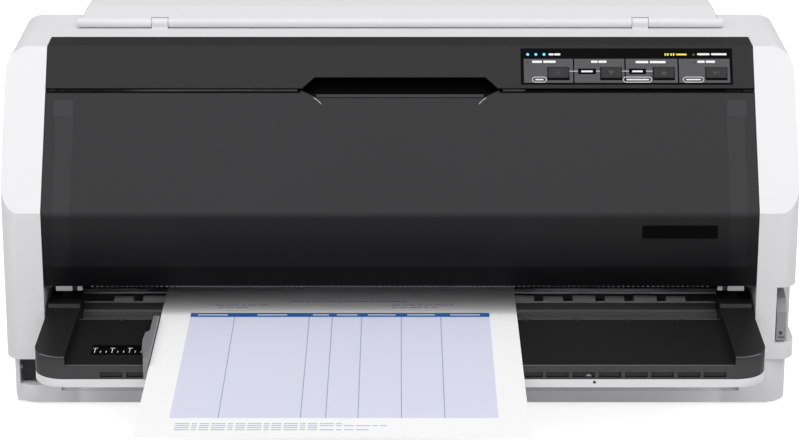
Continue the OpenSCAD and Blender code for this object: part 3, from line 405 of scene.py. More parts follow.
@effect_of({"Amount": 0.1}, ("Mask",))
def settled_dust(shade, given):
    drift = shade.noise(25.0, 5.0, Vector=shade.place())
    level = shade.calc("MULTIPLY", shade.spread(shade.normal("Z"), 0.5, 1.0), shade.spread(drift, 0.3, 0.8))
    return {"Mask": shade.calc("MULTIPLY", level, given["Amount"], clamp=True)}


@effect_of({"Scale": 400.0}, ("Height", "Streak"))
def drawn_metal(shade, given):
    long = shade.add("Mapping", Vector=shade.place(), Scale=(0.04, 1.0, 1.0)).outputs["Vector"]
    streak = shade.noise(given["Scale"], 3.0, Vector=long)
    return {"Height": streak, "Streak": streak}


@effect_of({"Point": (0.0, 0.0, 0.0), "Normal": (0.0, 0.0, 1.0), "Start": 0.002}, ("Mask",))
def behind_plane(shade, given):
    away = shade.vector("SUBTRACT", shade.place(), given["Point"])
    below = shade.calc("MULTIPLY", shade.vector("DOT_PRODUCT", away, given["Normal"]), -1.0)
    return {"Mask": shade.spread(below, given["Start"], shade.calc("ADD", given["Start"], 0.0004))}


# Height bands over which the smoke cover's painted shade grows darker
@effect_of({"Foot": 0.09, "Crease": 0.124}, ("Lower", "Middle", "Foot"))
def height_bands(shade, given):
    height = shade.add("SeparateXYZ", Vector=shade.place()).outputs["Z"]
    crease, foot = given["Crease"], given["Foot"]
    above = shade.calc("SUBTRACT", crease, 0.004)
    middle = shade.calc("SUBTRACT", crease, 0.030)
    bands = {"Lower": (above, crease), "Middle": (middle, above),
             "Foot": (foot, shade.calc("ADD", foot, 0.0006))}
    return {key: shade.calc("SUBTRACT", 1.0, shade.spread(height, *ends)) for key, ends in bands.items()}


@effect_of({"Point": (0.0, 0.0, 0.0), "Radius": 0.005}, ("Mask",))
def around_axis(shade, given):
    away = shade.vector("SUBTRACT", shade.place(), given["Point"])
    reach = shade.vector("LENGTH", shade.vector("MULTIPLY", away, (0, 1, 1)))
    inner = shade.calc("SUBTRACT", given["Radius"], 0.0002)
    return {"Mask": shade.spread(reach, inner, given["Radius"])}


# ---- finishes

def start_material(name, **constants):
    """A material with one Principled shader, whose plain constants are set on its own sockets."""
    material = bpy.data.materials.new(name)
    material.use_nodes = True
    tree = material.node_tree
    tree.nodes.clear()
    shade = Shade(tree)
    shade.material, shade.shader = material, shade.add("BsdfPrincipled", **constants)
    shade.add("OutputMaterial", Surface=shade.shader.outputs["BSDF"])
    return shade


def dress(shade, base, rough, height, strength, relief=0.0002):
    """Feeds the shader its colour, its roughness and a bump of that relief in metres."""
    bump = shade.add("Bump", Strength=strength, Distance=relief, Height=height)
    shade.feed(shade.shader, Base_Color=base, Roughness=rough, Normal=bump.outputs["Normal"])
    return shade.material


def grain_of(shade, scale):
    """Relief and speckle of a moulded surface."""
    grains = shade.group("moulded_grain", Scale=scale, Depth=1.0)
    return grains.outputs["Height"], grains.outputs["Speckle"]


def tone_of(shade, colour, amount=0.03, scale=9.0):
    """A colour that drifts slowly over the surface, and the drift itself."""
    tone = shade.group("colour_drift", Colour=(*colour, 1), Amount=amount, Scale=scale)
    return tone.outputs["Colour"], tone.outputs["Drift"]


def moulded(name, colour, rough=0.45, grain=1100.0, depth=0.12, drift=0.025, wear=0.0, dust=0.0, **constants):
    """Injection moulded plastic with a spark-eroded grain, slow colour drift, edge wear and dust."""
    shade = start_material(name, **constants)
    base, swing = tone_of(shade, colour, drift)
    height, _ = grain_of(shade, grain)
    if wear:
        mask = shade.group("edge_wear", Reach=0.05, Amount=wear).outputs["Mask"]
        base = shade.mix(mask, base, (*(min(1, c * 2.2 + 0.02) for c in colour), 1))
    if dust:
        mask = shade.group("settled_dust", Amount=dust).outputs["Mask"]
        base = shade.mix(mask, base, (0.42, 0.41, 0.39, 1))
    return dress(shade, base, shade.spread(swing, 0.3, 0.7, rough - 0.05, rough + 0.05), height, depth)


def metal(name, colour, rough=0.3, scale=400.0, depth=0.1):
    """Drawn or rolled metal with fine streaks along its length."""
    shade = start_material(name, Metallic=1.0)
    base, _ = tone_of(shade, colour, 0.05, 20.0)
    drawn = shade.group("drawn_metal", Scale=scale)
    roughness = shade.spread(drawn.outputs["Streak"], 0.3, 0.7, rough - 0.06, rough + 0.08)
    return dress(shade, base, roughness, drawn.outputs["Height"], depth, 0.0001)


def local(node, point):
    """A world point in a node's own coordinates."""
    return tuple(NODES[node].matrix_world.inverted() @ Vector(point))


def speckled(name, colour, drift, grain, rough, strength, by_place, **constants):
    """Moulded plastic whose roughness follows its grain and whose tone changes by place."""
    shade = start_material(name, **constants)
    tone, _ = tone_of(shade, colour, drift)
    height, speckle = grain_of(shade, grain)
    return dress(shade, by_place(shade, tone), shade.spread(speckle, 0.0, 1.0, *rough), height, strength)


def panel_painted_shade(shade, tone):
    """Painted shade: a deeper tone on the panel's level top strip, which the light from above would show
    lighter, and near black in its pocket behind the slope.
    """
    pocket_shade = shade.group("behind_plane", Point=local("control_panel", on_slope(0, 80, 0)),
                       Normal=(0.0, -RISE, RUN), Start=0.0012)
    top = shade.mix(shade.spread(shade.normal("Z"), 0.9, 0.99), tone, (0.009, 0.009, 0.0095, 1))
    return shade.mix(pocket_shade.outputs["Mask"], top, (0.002, 0.002, 0.002, 1))


def lower_painted_light(shade, tone):
    """Painted light: a paler grade along the long recess of the lower case's front, to lift the shade that
    the shelf casts there.
    """
    across = shade.add("SeparateXYZ", Vector=shade.place()).outputs["X"]
    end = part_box("front_shelf")[1].x - 0.02
    recess = shade.spread(shade.calc("ABSOLUTE", across), end, end + 0.006)
    return shade.mix(recess, (0.96, 0.96, 0.97, 1), tone)


def table_painted_light(shade, tone):
    """Painted light: a lighter grade on the table's upright front faces, which the front light shows brighter
    than its top.
    """
    front = shade.spread(shade.calc("MULTIPLY", shade.normal("Y"), -1.0), 0.35, 0.9)
    return shade.mix(front, tone, (0.062, 0.062, 0.064, 1))


def shaded_front(name, colour, gain):
    """Smoke-tinted sheet with painted shade: the upright face below the crease is painted darker in bands
    towards its foot.
    """
    shade = start_material(name, Specular_IOR_Level=0.06)
    base, swing = tone_of(shade, [c * gain for c in colour])
    foot_band = 12.5
    bands = shade.group("height_bands", Foot=(COVER_FOOT + foot_band) * MM, Crease=CREASE[1] * MM)
    for band_name, painted_shade in (("Lower", (0.017, 0.017, 0.018)), ("Middle", (0.009, 0.009, 0.010)),
                              ("Foot", (0.004, 0.004, 0.0045))):
        base = shade.mix(bands.outputs[band_name], base, (*(c * gain for c in painted_shade), 1))
    roughness = shade.spread(swing, 0.3, 0.7, 0.2, 0.28)
    height, _ = grain_of(shade, 90.0)
    return dress(shade, base, roughness, height, 0.004)


def ringed_roller(name, node, radius, grey):
    """Steel shaft that carries rubber: what lies beyond the radius is rubber."""
    shade = start_material(name)
    low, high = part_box(node)
    beyond = shade.group("around_axis", Point=local(node, (low + high) / 2), Radius=radius * MM)
    steel, _ = tone_of(shade, (0.55, 0.56, 0.58), 0.05, 20.0)
    rubber, _ = tone_of(shade, (grey, grey, grey), 0.1, 40.0)
    mask = beyond.outputs["Mask"]
    shade.feed(shade.shader, Metallic=shade.calc("SUBTRACT", 1.0, mask))
    drawn = shade.group("drawn_metal", Scale=900.0)
    return dress(shade, shade.mix(mask, steel, rubber), shade.spread(mask, 0.0, 1.0, 0.25, 0.6),
                 drawn.outputs["Height"], 0.1, 0.0001)


def lamp(name, colour, glow):
    """A lit lens with a slightly uneven glow."""
    shade = start_material(name, Emission_Strength=glow)
    shade.feed(shade.shader, Base_Color=tone_of(shade, colour, 0.03, 7.0)[0],
               Emission_Color=tone_of(shade, colour, 0.1, 900.0)[0],
               Roughness=shade.group("moulded_grain", Scale=4000.0).outputs["Speckle"])
    return shade.material


def colour_of(key):
    return tuple(getattr(bpy.context.scene.printer_colours, key))


def made_by(build, colour, *values, **constants):
    """A finish whose colour is given or names one of the printer's colour settings."""
    return lambda name: build(name, colour_of(colour) if isinstance(colour, str) else colour,
                              *values, **constants)


def plastic(colour, *values, gloss=0.5, **others):
    """A moulded finish: roughness, grain, relief, drift; gloss is the shader's specular level."""
    return made_by(moulded, colour, *values, Specular_IOR_Level=gloss, **others)


FINISHES = {
    "white_case": plastic("white_case", 0.5, 1300, 0.10, 0.012),
    # The lower case's finish, with painted light along its recess
    "grey_case": made_by(speckled, "grey_case", 0.02, 1300.0, (0.46, 0.56), 0.12, lower_painted_light),
    "smoke_cover": made_by(shaded_front, "smoke_cover", 1.0),
    "cover_strip": made_by(shaded_front, "smoke_cover", 1.22),
    # A lighter copy of the smoke cover for painted highlights on the strips' heads and the finger lip
    "cover_head": lambda name: moulded(name, [c * 1.4 for c in colour_of("smoke_cover")], 0.24, 90, 0.004,
                                       0.03, Specular_IOR_Level=0.06),
    # Painted glints on the cover beside the finger dip
    "cover_glint": plastic((0.30, 0.30, 0.31), 0.3, 90, 0.004, 0.05),
    # The control panel's finish, with painted shade on its top strip and in its pocket
    "hollow_panel": made_by(speckled, "black_panel", 0.03, 1500.0, (0.34, 0.42), 0.10, panel_painted_shade,
                            Specular_IOR_Level=0.012),
    # The sheet table's finish, with painted light on its front faces
    "table_black": made_by(speckled, "table_black", 0.05, 1000.0, (0.42, 0.5), 0.25, table_painted_light,
                           Specular_IOR_Level=0.07),
    "bar_black": plastic((0.07, 0.07, 0.071), 0.45, 1000, 0.2, 0.05, gloss=0.3),
    # Painted highlights on the sheet table's edges
    "edge_sheen": plastic((0.11, 0.11, 0.112), 0.35, 1000, 0.1, 0.03),
    "dark_plastic": plastic("dark_plastic", 0.5, 1100, 0.2, 0.06, gloss=0.2),
    "button_grey": plastic("button_grey", 0.42, 1600, 0.12, 0.04, 0.15, gloss=0.12),
    "guide_grey": plastic("guide_grey", 0.45, 1200, 0.15, 0.04),
    "lever_grey": plastic("lever_grey", 0.45, 1200, 0.12, 0.02),
    "lever_blue": plastic((0.02, 0.12, 0.42), 0.4, 1200, 0.12, 0.03),
    "gear_plastic": plastic((0.78, 0.77, 0.72), 0.42, 900, 0.1, 0.03, Subsurface_Weight=0.05),
    "scoop_dark": plastic((0.055, 0.055, 0.058), 0.55, 1200, 0.1, 0.03, gloss=0.2),
    "sleeve_grey": plastic((0.6, 0.6, 0.6), 0.6, 700, 0.2, 0.08),
    "foot_grey": plastic((0.34, 0.34, 0.35), 0.5, 1200, 0.1, 0.03),
    "feet_rubber": plastic((0.03, 0.03, 0.03), 0.7, 700, 0.4, 0.1, dust=0.05),
    "belt_rubber": plastic((0.015, 0.015, 0.016), 0.65, 900, 0.4, 0.1),
    "motor_metal": plastic((0.03, 0.03, 0.033), 0.4, 900, 0.2, 0.05, 0.4),
    "board_green": plastic((0.015, 0.10, 0.035), 0.35, 1500, 0.1, 0.15),
    "brass_part": made_by(metal, (0.78, 0.56, 0.24), 0.28),
    "steel": made_by(metal, (0.56, 0.57, 0.58), 0.38, 300, 0.15),
    "shaft_steel": made_by(metal, (0.62, 0.63, 0.65), 0.22, 900, 0.08),
    "tear_metal": made_by(metal, (0.50, 0.51, 0.53), 0.3, 500, 0.12),
    "platen_skin": lambda name: ringed_roller(name, "platen_roller", 4.6, 0.06),
    "front_rings": lambda name: ringed_roller(name, "front_feed_roller", 4.0, 0.6),
    "rear_rings": lambda name: ringed_roller(name, "rear_feed_roller", 4.0, 0.18),
    "plate_black": plastic((0.002, 0.002, 0.0022), 0.35, 2500, 0.03, 0.1, gloss=0.02),
    "plate_grey": plastic("plate_grey", 0.42, 2500, 0.08, 0.02, gloss=0.2),
    "lamp_blue": made_by(lamp, (0.06, 0.32, 1.0), 2.2),
    "lamp_dark": plastic((0.03, 0.03, 0.035), 0.15, 2000, 0.02, 0.05),
    "form_paper": plastic("form_paper", 0.8, 1800, 0.12, 0.008),
    "ink_blue": plastic("form_bar", 0.7, 3000, 0.1, 0.04),
    "ink_lavender": plastic("form_tint", 0.75, 3000, 0.12, 0.015),
    "ink_rule": plastic("form_rule", 0.75, 3000, 0.1, 0.04),
    "ink_white": plastic((0.78, 0.78, 0.8), 0.6, 3000, 0.1, 0.03),
    "ink_grey": plastic((0.22, 0.22, 0.23), 0.6, 3000, 0.1, 0.03),
    "ink_black": plastic((0.02, 0.02, 0.022), 0.6, 3000, 0.1, 0.05),
    "ink_yellow": plastic((0.85, 0.66, 0.05), 0.5, 3000, 0.1, 0.03),
}


def finish(name):
    """The material of a finish, built when it is first used."""
    label = name + "_finish"
    return bpy.data.materials.get(label) or FINISHES[name](label)


# ---- settings

def tint(label, description, value):
    return bpy.props.FloatVectorProperty(name=label, description=description, subtype="COLOR", size=3,
                                         min=0.0, max=1.0, default=value)


def setting(label, description, default, **kind):
    return bpy.props.FloatProperty(name=label, description=description, default=default, **kind)


def length(label, description, metres):
    return setting(label, description, metres, subtype="DISTANCE", unit="LENGTH", min=0.0)


class PrinterColours(bpy.types.PropertyGroup):
    """Colours of the printer's finishes."""
    white_case: tint("White case", "Shell of the upper case and the rear cover", (0.73, 0.73, 0.745))
    grey_case: tint("Grey case", "Lower case", (0.72, 0.72, 0.73))
    black_panel: tint("Black panel", "Control panel", (0.037, 0.037, 0.038))
    smoke_cover: tint("Smoke cover", "Tinted front cover", (0.034, 0.034, 0.0355))
    table_black: tint("Table black", "Sheet table and its arms", (0.010, 0.010, 0.0104))
    dark_plastic: tint("Dark plastic", "Inner mouldings", (0.018, 0.018, 0.019))
    button_grey: tint("Button grey", "Push buttons", (0.022, 0.022, 0.023))
    plate_grey: tint("Plate grey", "Cells of the control plate", (0.066, 0.066, 0.070))
    guide_grey: tint("Guide grey", "Edge guide", (0.21, 0.21, 0.215))
    lever_grey: tint("Lever grey", "Release lever", (0.24, 0.24, 0.25))
    form_paper: tint("Form paper", "Blank stock of the form", (0.96, 0.96, 0.965))
    form_bar: tint("Form bar", "Heading bar of the form", (0.006, 0.11, 0.37))
    form_tint: tint("Form tint", "Tinted field of the form", (0.72, 0.73, 0.88))
    form_rule: tint("Form rule", "Ruled lines of the form", (0.30, 0.34, 0.55))


class PrinterSizes(bpy.types.PropertyGroup):
    """Sizes of the fine shapes."""
    crease_radius: length("Crease radius", "Rounding of the cover's crease", 6.0 * MM)
    ink: length("Ink", "Thickness of printed marks", 0.05 * MM)


class StudioSettings(bpy.types.PropertyGroup):
    """Light and view."""
    distance: length("Camera distance", "Camera's distance in front of the printer", 1.6335)
    height: length("Camera height", "Camera's height above the sheet table", 0.577)
    downward: setting("Downward look", "Angle by which the camera looks down", math.radians(18),
                      subtype="ANGLE", unit="ROTATION")
    lens: setting("Lens", "Focal length on a 36 mm frame, in millimetres", 125.06, subtype="DISTANCE_CAMERA")
    key_watts: setting("Key light", "Power of the large front light", 123.0, subtype="POWER", unit="POWER")
    top_watts: setting("Top light", "Power of the light above the sheet table", 17.0,
                       subtype="POWER", unit="POWER")
    fill: setting("Fill", "Strength of the surrounding light", 0.24, subtype="FACTOR", min=0.0, max=1.0)


class PrinterStep:
    """What every step of the build shares."""
    bl_options = {"REGISTER", "UNDO"}


# ---- stage

def add_floor():
    bm = bmesh.new()
    bmesh.ops.create_grid(bm, x_segments=8, y_segments=8, size=6.0)
    floor = mesh_object("floor", bm)
    floor.location.z = -0.0002
    shade = start_material("floor_white", Roughness=0.9, Specular_IOR_Level=0.1,
                           Emission_Color=(1, 1, 1, 1))
    shade.feed(shade.shader, Base_Color=tone_of(shade, (0.72, 0.72, 0.725), 0.01, 3.0)[0],
               Emission_Strength=shade.calc("MULTIPLY", shade.plain_view(), 0.75))
    floor.data.materials.append(shade.material)


def add_world(context, fill):
    world = bpy.data.worlds.new("studio")
    context.scene.world = world
    world.use_nodes = True
    shade = Shade(world.node_tree)
    world.node_tree.nodes.clear()
    strength = shade.spread(shade.plain_view(), 0.0, 1.0, fill, 1.0)
    back = shade.add("Background", Color=(1, 1, 1, 1), Strength=strength)
    shade.add("OutputWorld", Surface=back.outputs["Background"])


def add_camera(context, studio):
    camera = bpy.data.cameras.new("camera")
    camera.sensor_fit = "HORIZONTAL"
    camera.sensor_width = 36.0
    camera.lens = studio.lens
    camera.clip_end = 50.0
    eye = linked("camera", camera)
    eye.location = (0, -studio.distance, studio.height + TABLE_Z * MM)
    eye.rotation_euler = (math.pi / 2 - studio.downward, 0, 0)
    context.scene.camera = eye


def add_light(name, place, target, size, watts):
    data = bpy.data.lights.new(name, "AREA")
    data.shape = "RECTANGLE"
    data.size, data.size_y = size
    data.energy = watts
    obj = linked(name, data)
    obj.location = place
    obj.rotation_euler = (Vector(target) - Vector(place)).to_track_quat("-Z", "Y").to_euler()


class PRINTER_OT_stage(PrinterStep, bpy.types.Operator):
    """Sets up the pale floor, the soft light and the camera"""
    bl_idname = "printer.stage"
    bl_label = "Stage"

    def execute(self, context):
        studio = context.scene.printer_studio
        add_floor()
        add_world(context, studio.fill)
        add_light("key", (0, -1.97, 2.52), (0, 0, 0.08), (6.5, 3.6), studio.key_watts)
        add_light("top", (0, -0.5, 2.6), (0, -0.25, 0), (4.0, 1.6), studio.top_watts)
        add_camera(context, studio)
        context.scene.view_settings.view_transform = "Standard"
        return {"FINISHED"}


# ---- solids that stay

# Finish and edge rounding in millimetres, with the solids that have them
LOOKS = {
    ("grey_case", 0.8): "lower_case",
    ("white_case", 1.2): "upper_case",
    ("white_case", 0.9): "rear_cover",
    ("white_case", 0.7): "front_shelf",
    ("table_black", 0.7): "sheet_table",
    ("hollow_panel", 0.6): "control_panel",
    ("smoke_cover", 0.5): "printer_cover",
    ("plate_black", 0.1): "panel_plate",
    ("button_grey", 0.35): "menu_button line_feed_button load_button pause_button",
    ("lever_grey", 0.5): "release_lever",
    ("lever_blue", 0.5): "thickness_lever",
    ("lever_blue", 0.4): "ribbon_knob",
    ("guide_grey", 0.35): "edge_guide",
    ("bar_black", 0.3): "cross_bar",
    ("feet_rubber", 0.4): "rubber_feet",
    ("belt_rubber", 0.0): "timing_belt",
    ("dark_plastic", 0.6): "carriage",
    ("dark_plastic", 0.5): "ribbon_cartridge",
    ("dark_plastic", 0.4): "left_tractor right_tractor",
    ("dark_plastic", 0.3): "ac_inlet left_tractor_flap right_tractor_flap",
    ("dark_plastic", 0.2): "power_switch left_sprocket right_sprocket",
    ("steel", 0.3): "power_supply",
    ("steel", 0.2): "left_side_frame right_side_frame paper_guide_plate rear_rail parallel_port usb_port"
                    " slot_cover",
    ("shaft_steel", 0.3): "carriage_rod tractor_rod",
    ("shaft_steel", 0.0): "case_screws tractor_shaft",
    ("tear_metal", 0.1): "tear_off_edge",
    ("motor_metal", 0.6): "carriage_motor feed_motor",
    ("motor_metal", 0.4): "print_head",
    ("board_green", 0.0): "panel_board main_board",
    ("brass_part", 0.3): "drive_pulley",
    ("brass_part", 0.0): "feed_pinion",
    ("gear_plastic", 0.3): "idler_pulley",
    ("gear_plastic", 0.0): "platen_gear front_roller_gear rear_roller_gear front_idler_gear rear_idler_gear"
                           " tractor_idler_gear",
    ("platen_skin", 0.3): "platen_roller",
    ("front_rings", 0.3): "front_feed_roller",
    ("rear_rings", 0.3): "rear_feed_roller",
    ("form_paper", 0.0): "paper_form",
}
KEPT = {name: look for look, names in LOOKS.items() for name in names.split()}
# Large solids keep their own faces, because faces merged across them shade unevenly
LARGE = ("upper_case", "control_panel", "sheet_table", "front_shelf", "lower_case")


class PRINTER_OT_solids(PrinterStep, bpy.types.Operator):
    """Gives each carried-over solid its finish and rounds its moulded edges"""
    bl_idname = "printer.solids"
    bl_label = "Solids"

    def execute(self, context):
        for name, node in NODES.items():
            finish_name, edge = KEPT[name]
            material = finish(finish_name)
            for place in node.material_slots:
                place.material = material
            if not node.material_slots:
                node.data.materials.append(material)
            if edge:
                node.modifiers.new("joined_corners", "WELD").merge_threshold = 0.00002
                if name not in LARGE:
                    flat = node.modifiers.new("whole_faces", "DECIMATE")
                    flat.decimate_type = "DISSOLVE"
                    flat.angle_limit = math.radians(1.0)
                round_edges(node, edge, 32, 3 if edge > 0.6 else 2)
        return {"FINISHED"}


# ---- control plate

# Places on the plate in millimetres: across the slope, and up it from the crease
BUTTON_X = [96.3 + 32 * i for i in range(4)]
BUTTON_S = SLOPE_LEN - 17.8
CELL_EDGES, CELL_S, CELL_GAP = [74.9, 105.6, 136.9, 169.2, 201.0], (83.4, 98.9), 0.45
# The black plate shows round each button as its gap, and further below it than above it as a painted shadow
# under the button
WELL_HALF, WELL_DOWN, WELL_UP = 6.7, 4.7, 3.9
CAPTIONS = [(90.6, 97.9, 101.8, 1.9), (80.4, 95.3, 97.0, 2.2), (116.3, 126.0, 97.0, 2.2),
            (143.4, 162.4, 96.8, 2.2), (181.0, 199.6, 101.9, 1.9), (181.0, 192.1, 97.0, 2.2)]
RING_ENDS, RING_S = ((80.2, 89.1), (135.5, 153.1), (171.9, 184.7)), (83.6, 87.2)
LINK_ENDS = ((102.9, 108.2), (119.2, 121.6), (134.9, 139.2), (149.6, 153.6))
BOX_ENDS, BOX_S = ((108.2, 119.2), (139.2, 149.6)), (88.9, 92.6)
BOX_MARK_ENDS, BOX_MARK_S = ((110.2, 117.2), (141.2, 147.6)), (90.2, 91.3)
SIGN_X, SIGN_S = (162.4, 165.9), (100.9, 102.6)
LAMPS = {"lit_lamps": ("lamp_blue", ((77.8, 101.8), (82.75, 101.8), (87.7, 101.8))),
         "dark_lamps": ("lamp_dark", ((77.6, 96.9), (178.85, 101.6), (179.3, 97.1)))}


def strips(ends, span, r=0.0):
    """Outlines of bars between pairs of ends, all over the same span."""
    return [rounded_box(a0, span[0], a1, span[1], r) for a0, a1 in ends]


def add_captions(lift, ink):
    """Bars in place of words, rings with a bar in them, and the lines that link the cells."""
    outlines = []
    for a0, a1, b, h in CAPTIONS:
        for share, width in ((0.0, 0.4), (0.46, 0.5)):
            start = a0 + (a1 - a0) * share
            outlines.append(rounded_box(start, b - h / 3, start + (a1 - a0) * width, b + h / 3, 0.3))
    outlines += strips([(a0 + 2, a1 - 2) for a0, a1 in RING_ENDS], (85.0, 85.8), 0.3)
    outlines += strips(LINK_ENDS, (90.75, 91.05))
    bm = bmesh.new()
    for outline in outlines:
        slab(bm, on_slope, outline, lift, lift + ink)
    line = 0.3
    for a0, a1 in RING_ENDS:
        outer = rounded_box(a0, RING_S[0], a1, RING_S[1], 1.8)
        inner = rounded_box(a0 + line, RING_S[0] + line, a1 - line, RING_S[1] - line, 1.5)
        frame_slab(bm, on_slope, outer, inner, lift, lift + ink)
    piece("plate_captions", bm, "root", "plate_print", "ink_white")


def add_icons():
    face = PLATE_LIFT + 1.0
    marks = {
        "menu_button": [rounded_box(-1.6, b - 0.2, 1.6, b + 0.2) for b in (-1.2, 0, 1.2)],
        "line_feed_button": [[(-1.9, 1.3), (0, -1.5), (1.9, 1.3)]],
        "load_button": [[(-1.9, -1.3), (1.9, -1.3), (0, 1.5)]],
        "pause_button": [[(-1.8, -1.4), (0.4, 0), (-1.8, 1.4)], rounded_box(0.9, -1.4, 1.4, 1.4)],
    }
    for x, (name, outlines) in zip(BUTTON_X, marks.items()):
        moved = [[(x + a, BUTTON_S + b) for a, b in outline] for outline in outlines]
        slabs(name + "_icon", name, "plate_print", "ink_black", on_slope, moved, face, face + 0.05)


def add_lamps():
    lens = [(0.0, 0.45), (0.45, 0.38), (0.8, 0.15), (0.9, -0.3)]
    for name, (look, spots) in LAMPS.items():
        bm = bmesh.new()
        for x, s in spots:
            turned(bm, on_slope(x, s, PLATE_LIFT), (0, -RISE, RUN), lens, 20)
        piece(name, bm, "root", "plate_print", look)


class PRINTER_OT_plate(PrinterStep, bpy.types.Operator):
    """Prints the grey cells, the caption bars, the links and the icons of the control plate"""
    bl_idname = "printer.plate"
    bl_label = "Control plate"

    def execute(self, context):
        ink = context.scene.printer_sizes.ink / MM
        lift = PLATE_LIFT + ink
        bm = bmesh.new()
        for a0, a1, x in zip(CELL_EDGES, CELL_EDGES[1:], BUTTON_X):
            cell = rounded_box(a0 + CELL_GAP, CELL_S[0], a1 - CELL_GAP, CELL_S[1])
            well = rounded_box(x - WELL_HALF, BUTTON_S - WELL_DOWN, x + WELL_HALF, BUTTON_S + WELL_UP)
            frame_slab(bm, on_slope, cell, well, PLATE_LIFT, lift)
        piece("plate_cells", bm, "root", "plate_print", "plate_grey")
        add_captions(lift, ink)
        for name, look, outlines, low in (
                ("plate_boxes", "plate_black", strips(BOX_ENDS, BOX_S, 0.4), lift),
                ("plate_box_marks", "ink_white", strips(BOX_MARK_ENDS, BOX_MARK_S, 0.3), lift + ink)):
            slabs(name, "root", "plate_print", look, on_slope, outlines, low, low + ink)
        ends = [(a + side - 0.5, a + side + 0.5) for a in SIGN_X for side in (-0.75, 0.75)]
        signs = [*strips(ends, SIGN_S, 0.5), rounded_box(168.2, 101.2, 174.5, 102.3, 0.3)]
        slabs("plate_signs", "root", "plate_print", "ink_yellow", on_slope, signs, lift, lift + ink)
        add_icons()
        add_lamps()
        return {"FINISHED"}


# ---- front cover

# The cover in millimetres: half its width, its skin, its upper edge, its dip and the ears over its foot
COVER_HALF, SKIN, COVER_TOP = 215.0, 2.5, 78.2
DIP = [(-59.5, 84), (-59.5, COVER_TOP), (-52, 76.3), (52, 76.3), (59.5, COVER_TOP), (59.5, 84)]
EAR = [(99, -0.5), (104, 1.5), (106.5, 7), (104, 13), (98, 18), (91, 45)]
# WEDGE outlines the painted shade at each end of the dip, GLINT the painted glint at each end
WEDGE = [(59.0, 78.0), (51.2, 75.9), (49.0, 74.0), (51.8, 74.5)]
GLINT = [(52.2, 74.0), (50.6, 72.9), (48.9, 71.4), (47.7, 69.9)]
LEAN = 93.5


def face_depth(z):
    """Depth of the cheeks' front face, which leans back by 1 in LEAN from the crease down."""
    return CREASE[0] + (CREASE[1] - z) / LEAN


def bend(s, radius, foot):
    """Path of the cover from s up the slope, round the crease and down to its foot."""
    return round_corner((CREASE[0] + s * RUN, CREASE[1] + s * RISE), CREASE, foot, radius, 8)


def mirrored(points, m):
    return [(m * a, b) for a, b in points]


def trim(name, look, outlines, high, soften=0.0):
    """Thin prisms on the cover's slope."""
    slabs(name, "printer_cover", "smoke_cover", look, on_slope, outlines, 0.0, high, soften)


def add_sheet(radius):
    """The bent skin with a dip for the finger, and an ear at each end."""
    foot = (face_depth(COVER_FOOT) + 2, COVER_FOOT)
    bm = bmesh.new()
    slab(bm, along_x, band(bend(COVER_TOP, radius, foot), SKIN), -COVER_HALF, COVER_HALF)
    cover = piece("front_cover", bm, "printer_cover", "smoke_cover", "smoke_cover")
    dip = bmesh.new()
    slab(dip, on_slope, DIP, -5, 3)
    cut(cover, "finger_dip", dip)
    cover.data.set_sharp_from_angle(angle=math.radians(SHARP))
    round_edges(cover, 0.5)
    bm = bmesh.new()
    outline = [foot, *((d, COVER_FOOT + z) for d, z in EAR), (CREASE[0] + 1, CREASE[1])]
    for low, high in both_sides(COVER_HALF - 4, COVER_HALF):
        slab(bm, along_x, outline, low, high)
    piece("cover_ears", bm, "printer_cover", "smoke_cover", "smoke_cover", soften=0.5)
    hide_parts("printer_cover")


def add_end_strips(radius):
    """Lighter strips near both ends, where the skin is doubled, with a small box at their tops in a lighter
    finish as a painted highlight.
    """
    path = bend(70, radius, (face_depth(COVER_FOOT + 1) + 1.9, COVER_FOOT + 1))
    bm = bmesh.new()
    for low, high in both_sides(197.6, 208.4):
        slab(bm, along_x, band(offset_path(path, -0.1), 0.15), low, high)
    piece("cover_strips", bm, "printer_cover", "smoke_cover", "cover_strip")
    trim("strip_heads", "cover_head", strips(both_sides(198, 210), (61.5, 72.4), 0.8), 0.2, 0.08)


def add_grip():
    """Painted highlight on a raised lip below the dip, painted shade in a line under it and in the dip's
    ends, and a painted glint at each end.
    """
    trim("finger_lip", "cover_head", [rounded_box(-50.5, 74.1, 50.5, 75.9, 0.7)], 0.25, 0.1)
    bm = bmesh.new()
    slab(bm, on_slope, rounded_box(-50.0, 73.7, 50.0, 74.0), 0.0, 0.06)
    for m in (-1, 1):
        slab(bm, on_slope, mirrored(WEDGE, m), 0.0, 0.07)
    piece("lip_groove", bm, "printer_cover", "smoke_cover", "plate_black")
    trim("lip_glints", "cover_glint", [band(mirrored(GLINT, m), m * 0.5) for m in (-1, 1)], 0.12)


def add_foot():
    """Light feet under the ends, painted highlights on the ears' fronts, and the teeth of the tear-off edge.
    """
    face = face_depth(COVER_FOOT) + 2
    bm = bmesh.new()
    for ends, front, back in (((198, 208), 0.2, 1.8), ((192, 195), 0.8, 2.2)):
        for low, high in both_sides(*ends):
            block(bm, (low, face + front, COVER_FOOT - 3), (high, face + back, COVER_FOOT + 0.2))
    piece("cover_feet", bm, "printer_cover", "lever_grey", "foot_grey", soften=0.2)
    # Painted highlight: a lighter patch on the front of each ear
    fronts = strips(both_sides(208.9, 213.1), (COVER_FOOT - 0.4, COVER_FOOT + 8), 1.2)
    slabs("ear_fronts", "printer_cover", "smoke_cover", "bar_black", on_front(face + 0.2), fronts,
          -1.5, 0.0, 0.3)
    pitch, half = 3, 0.9
    teeth = [[(pitch * i - half, COVER_FOOT + 0.1), (pitch * i, COVER_FOOT - half),
              (pitch * i + half, COVER_FOOT + 0.1)] for i in range(-62, 63)]
    slabs("tear_teeth", "printer_cover", "tear_metal", "tear_metal", on_front(face + 1.6), teeth, -0.4, 0.4)


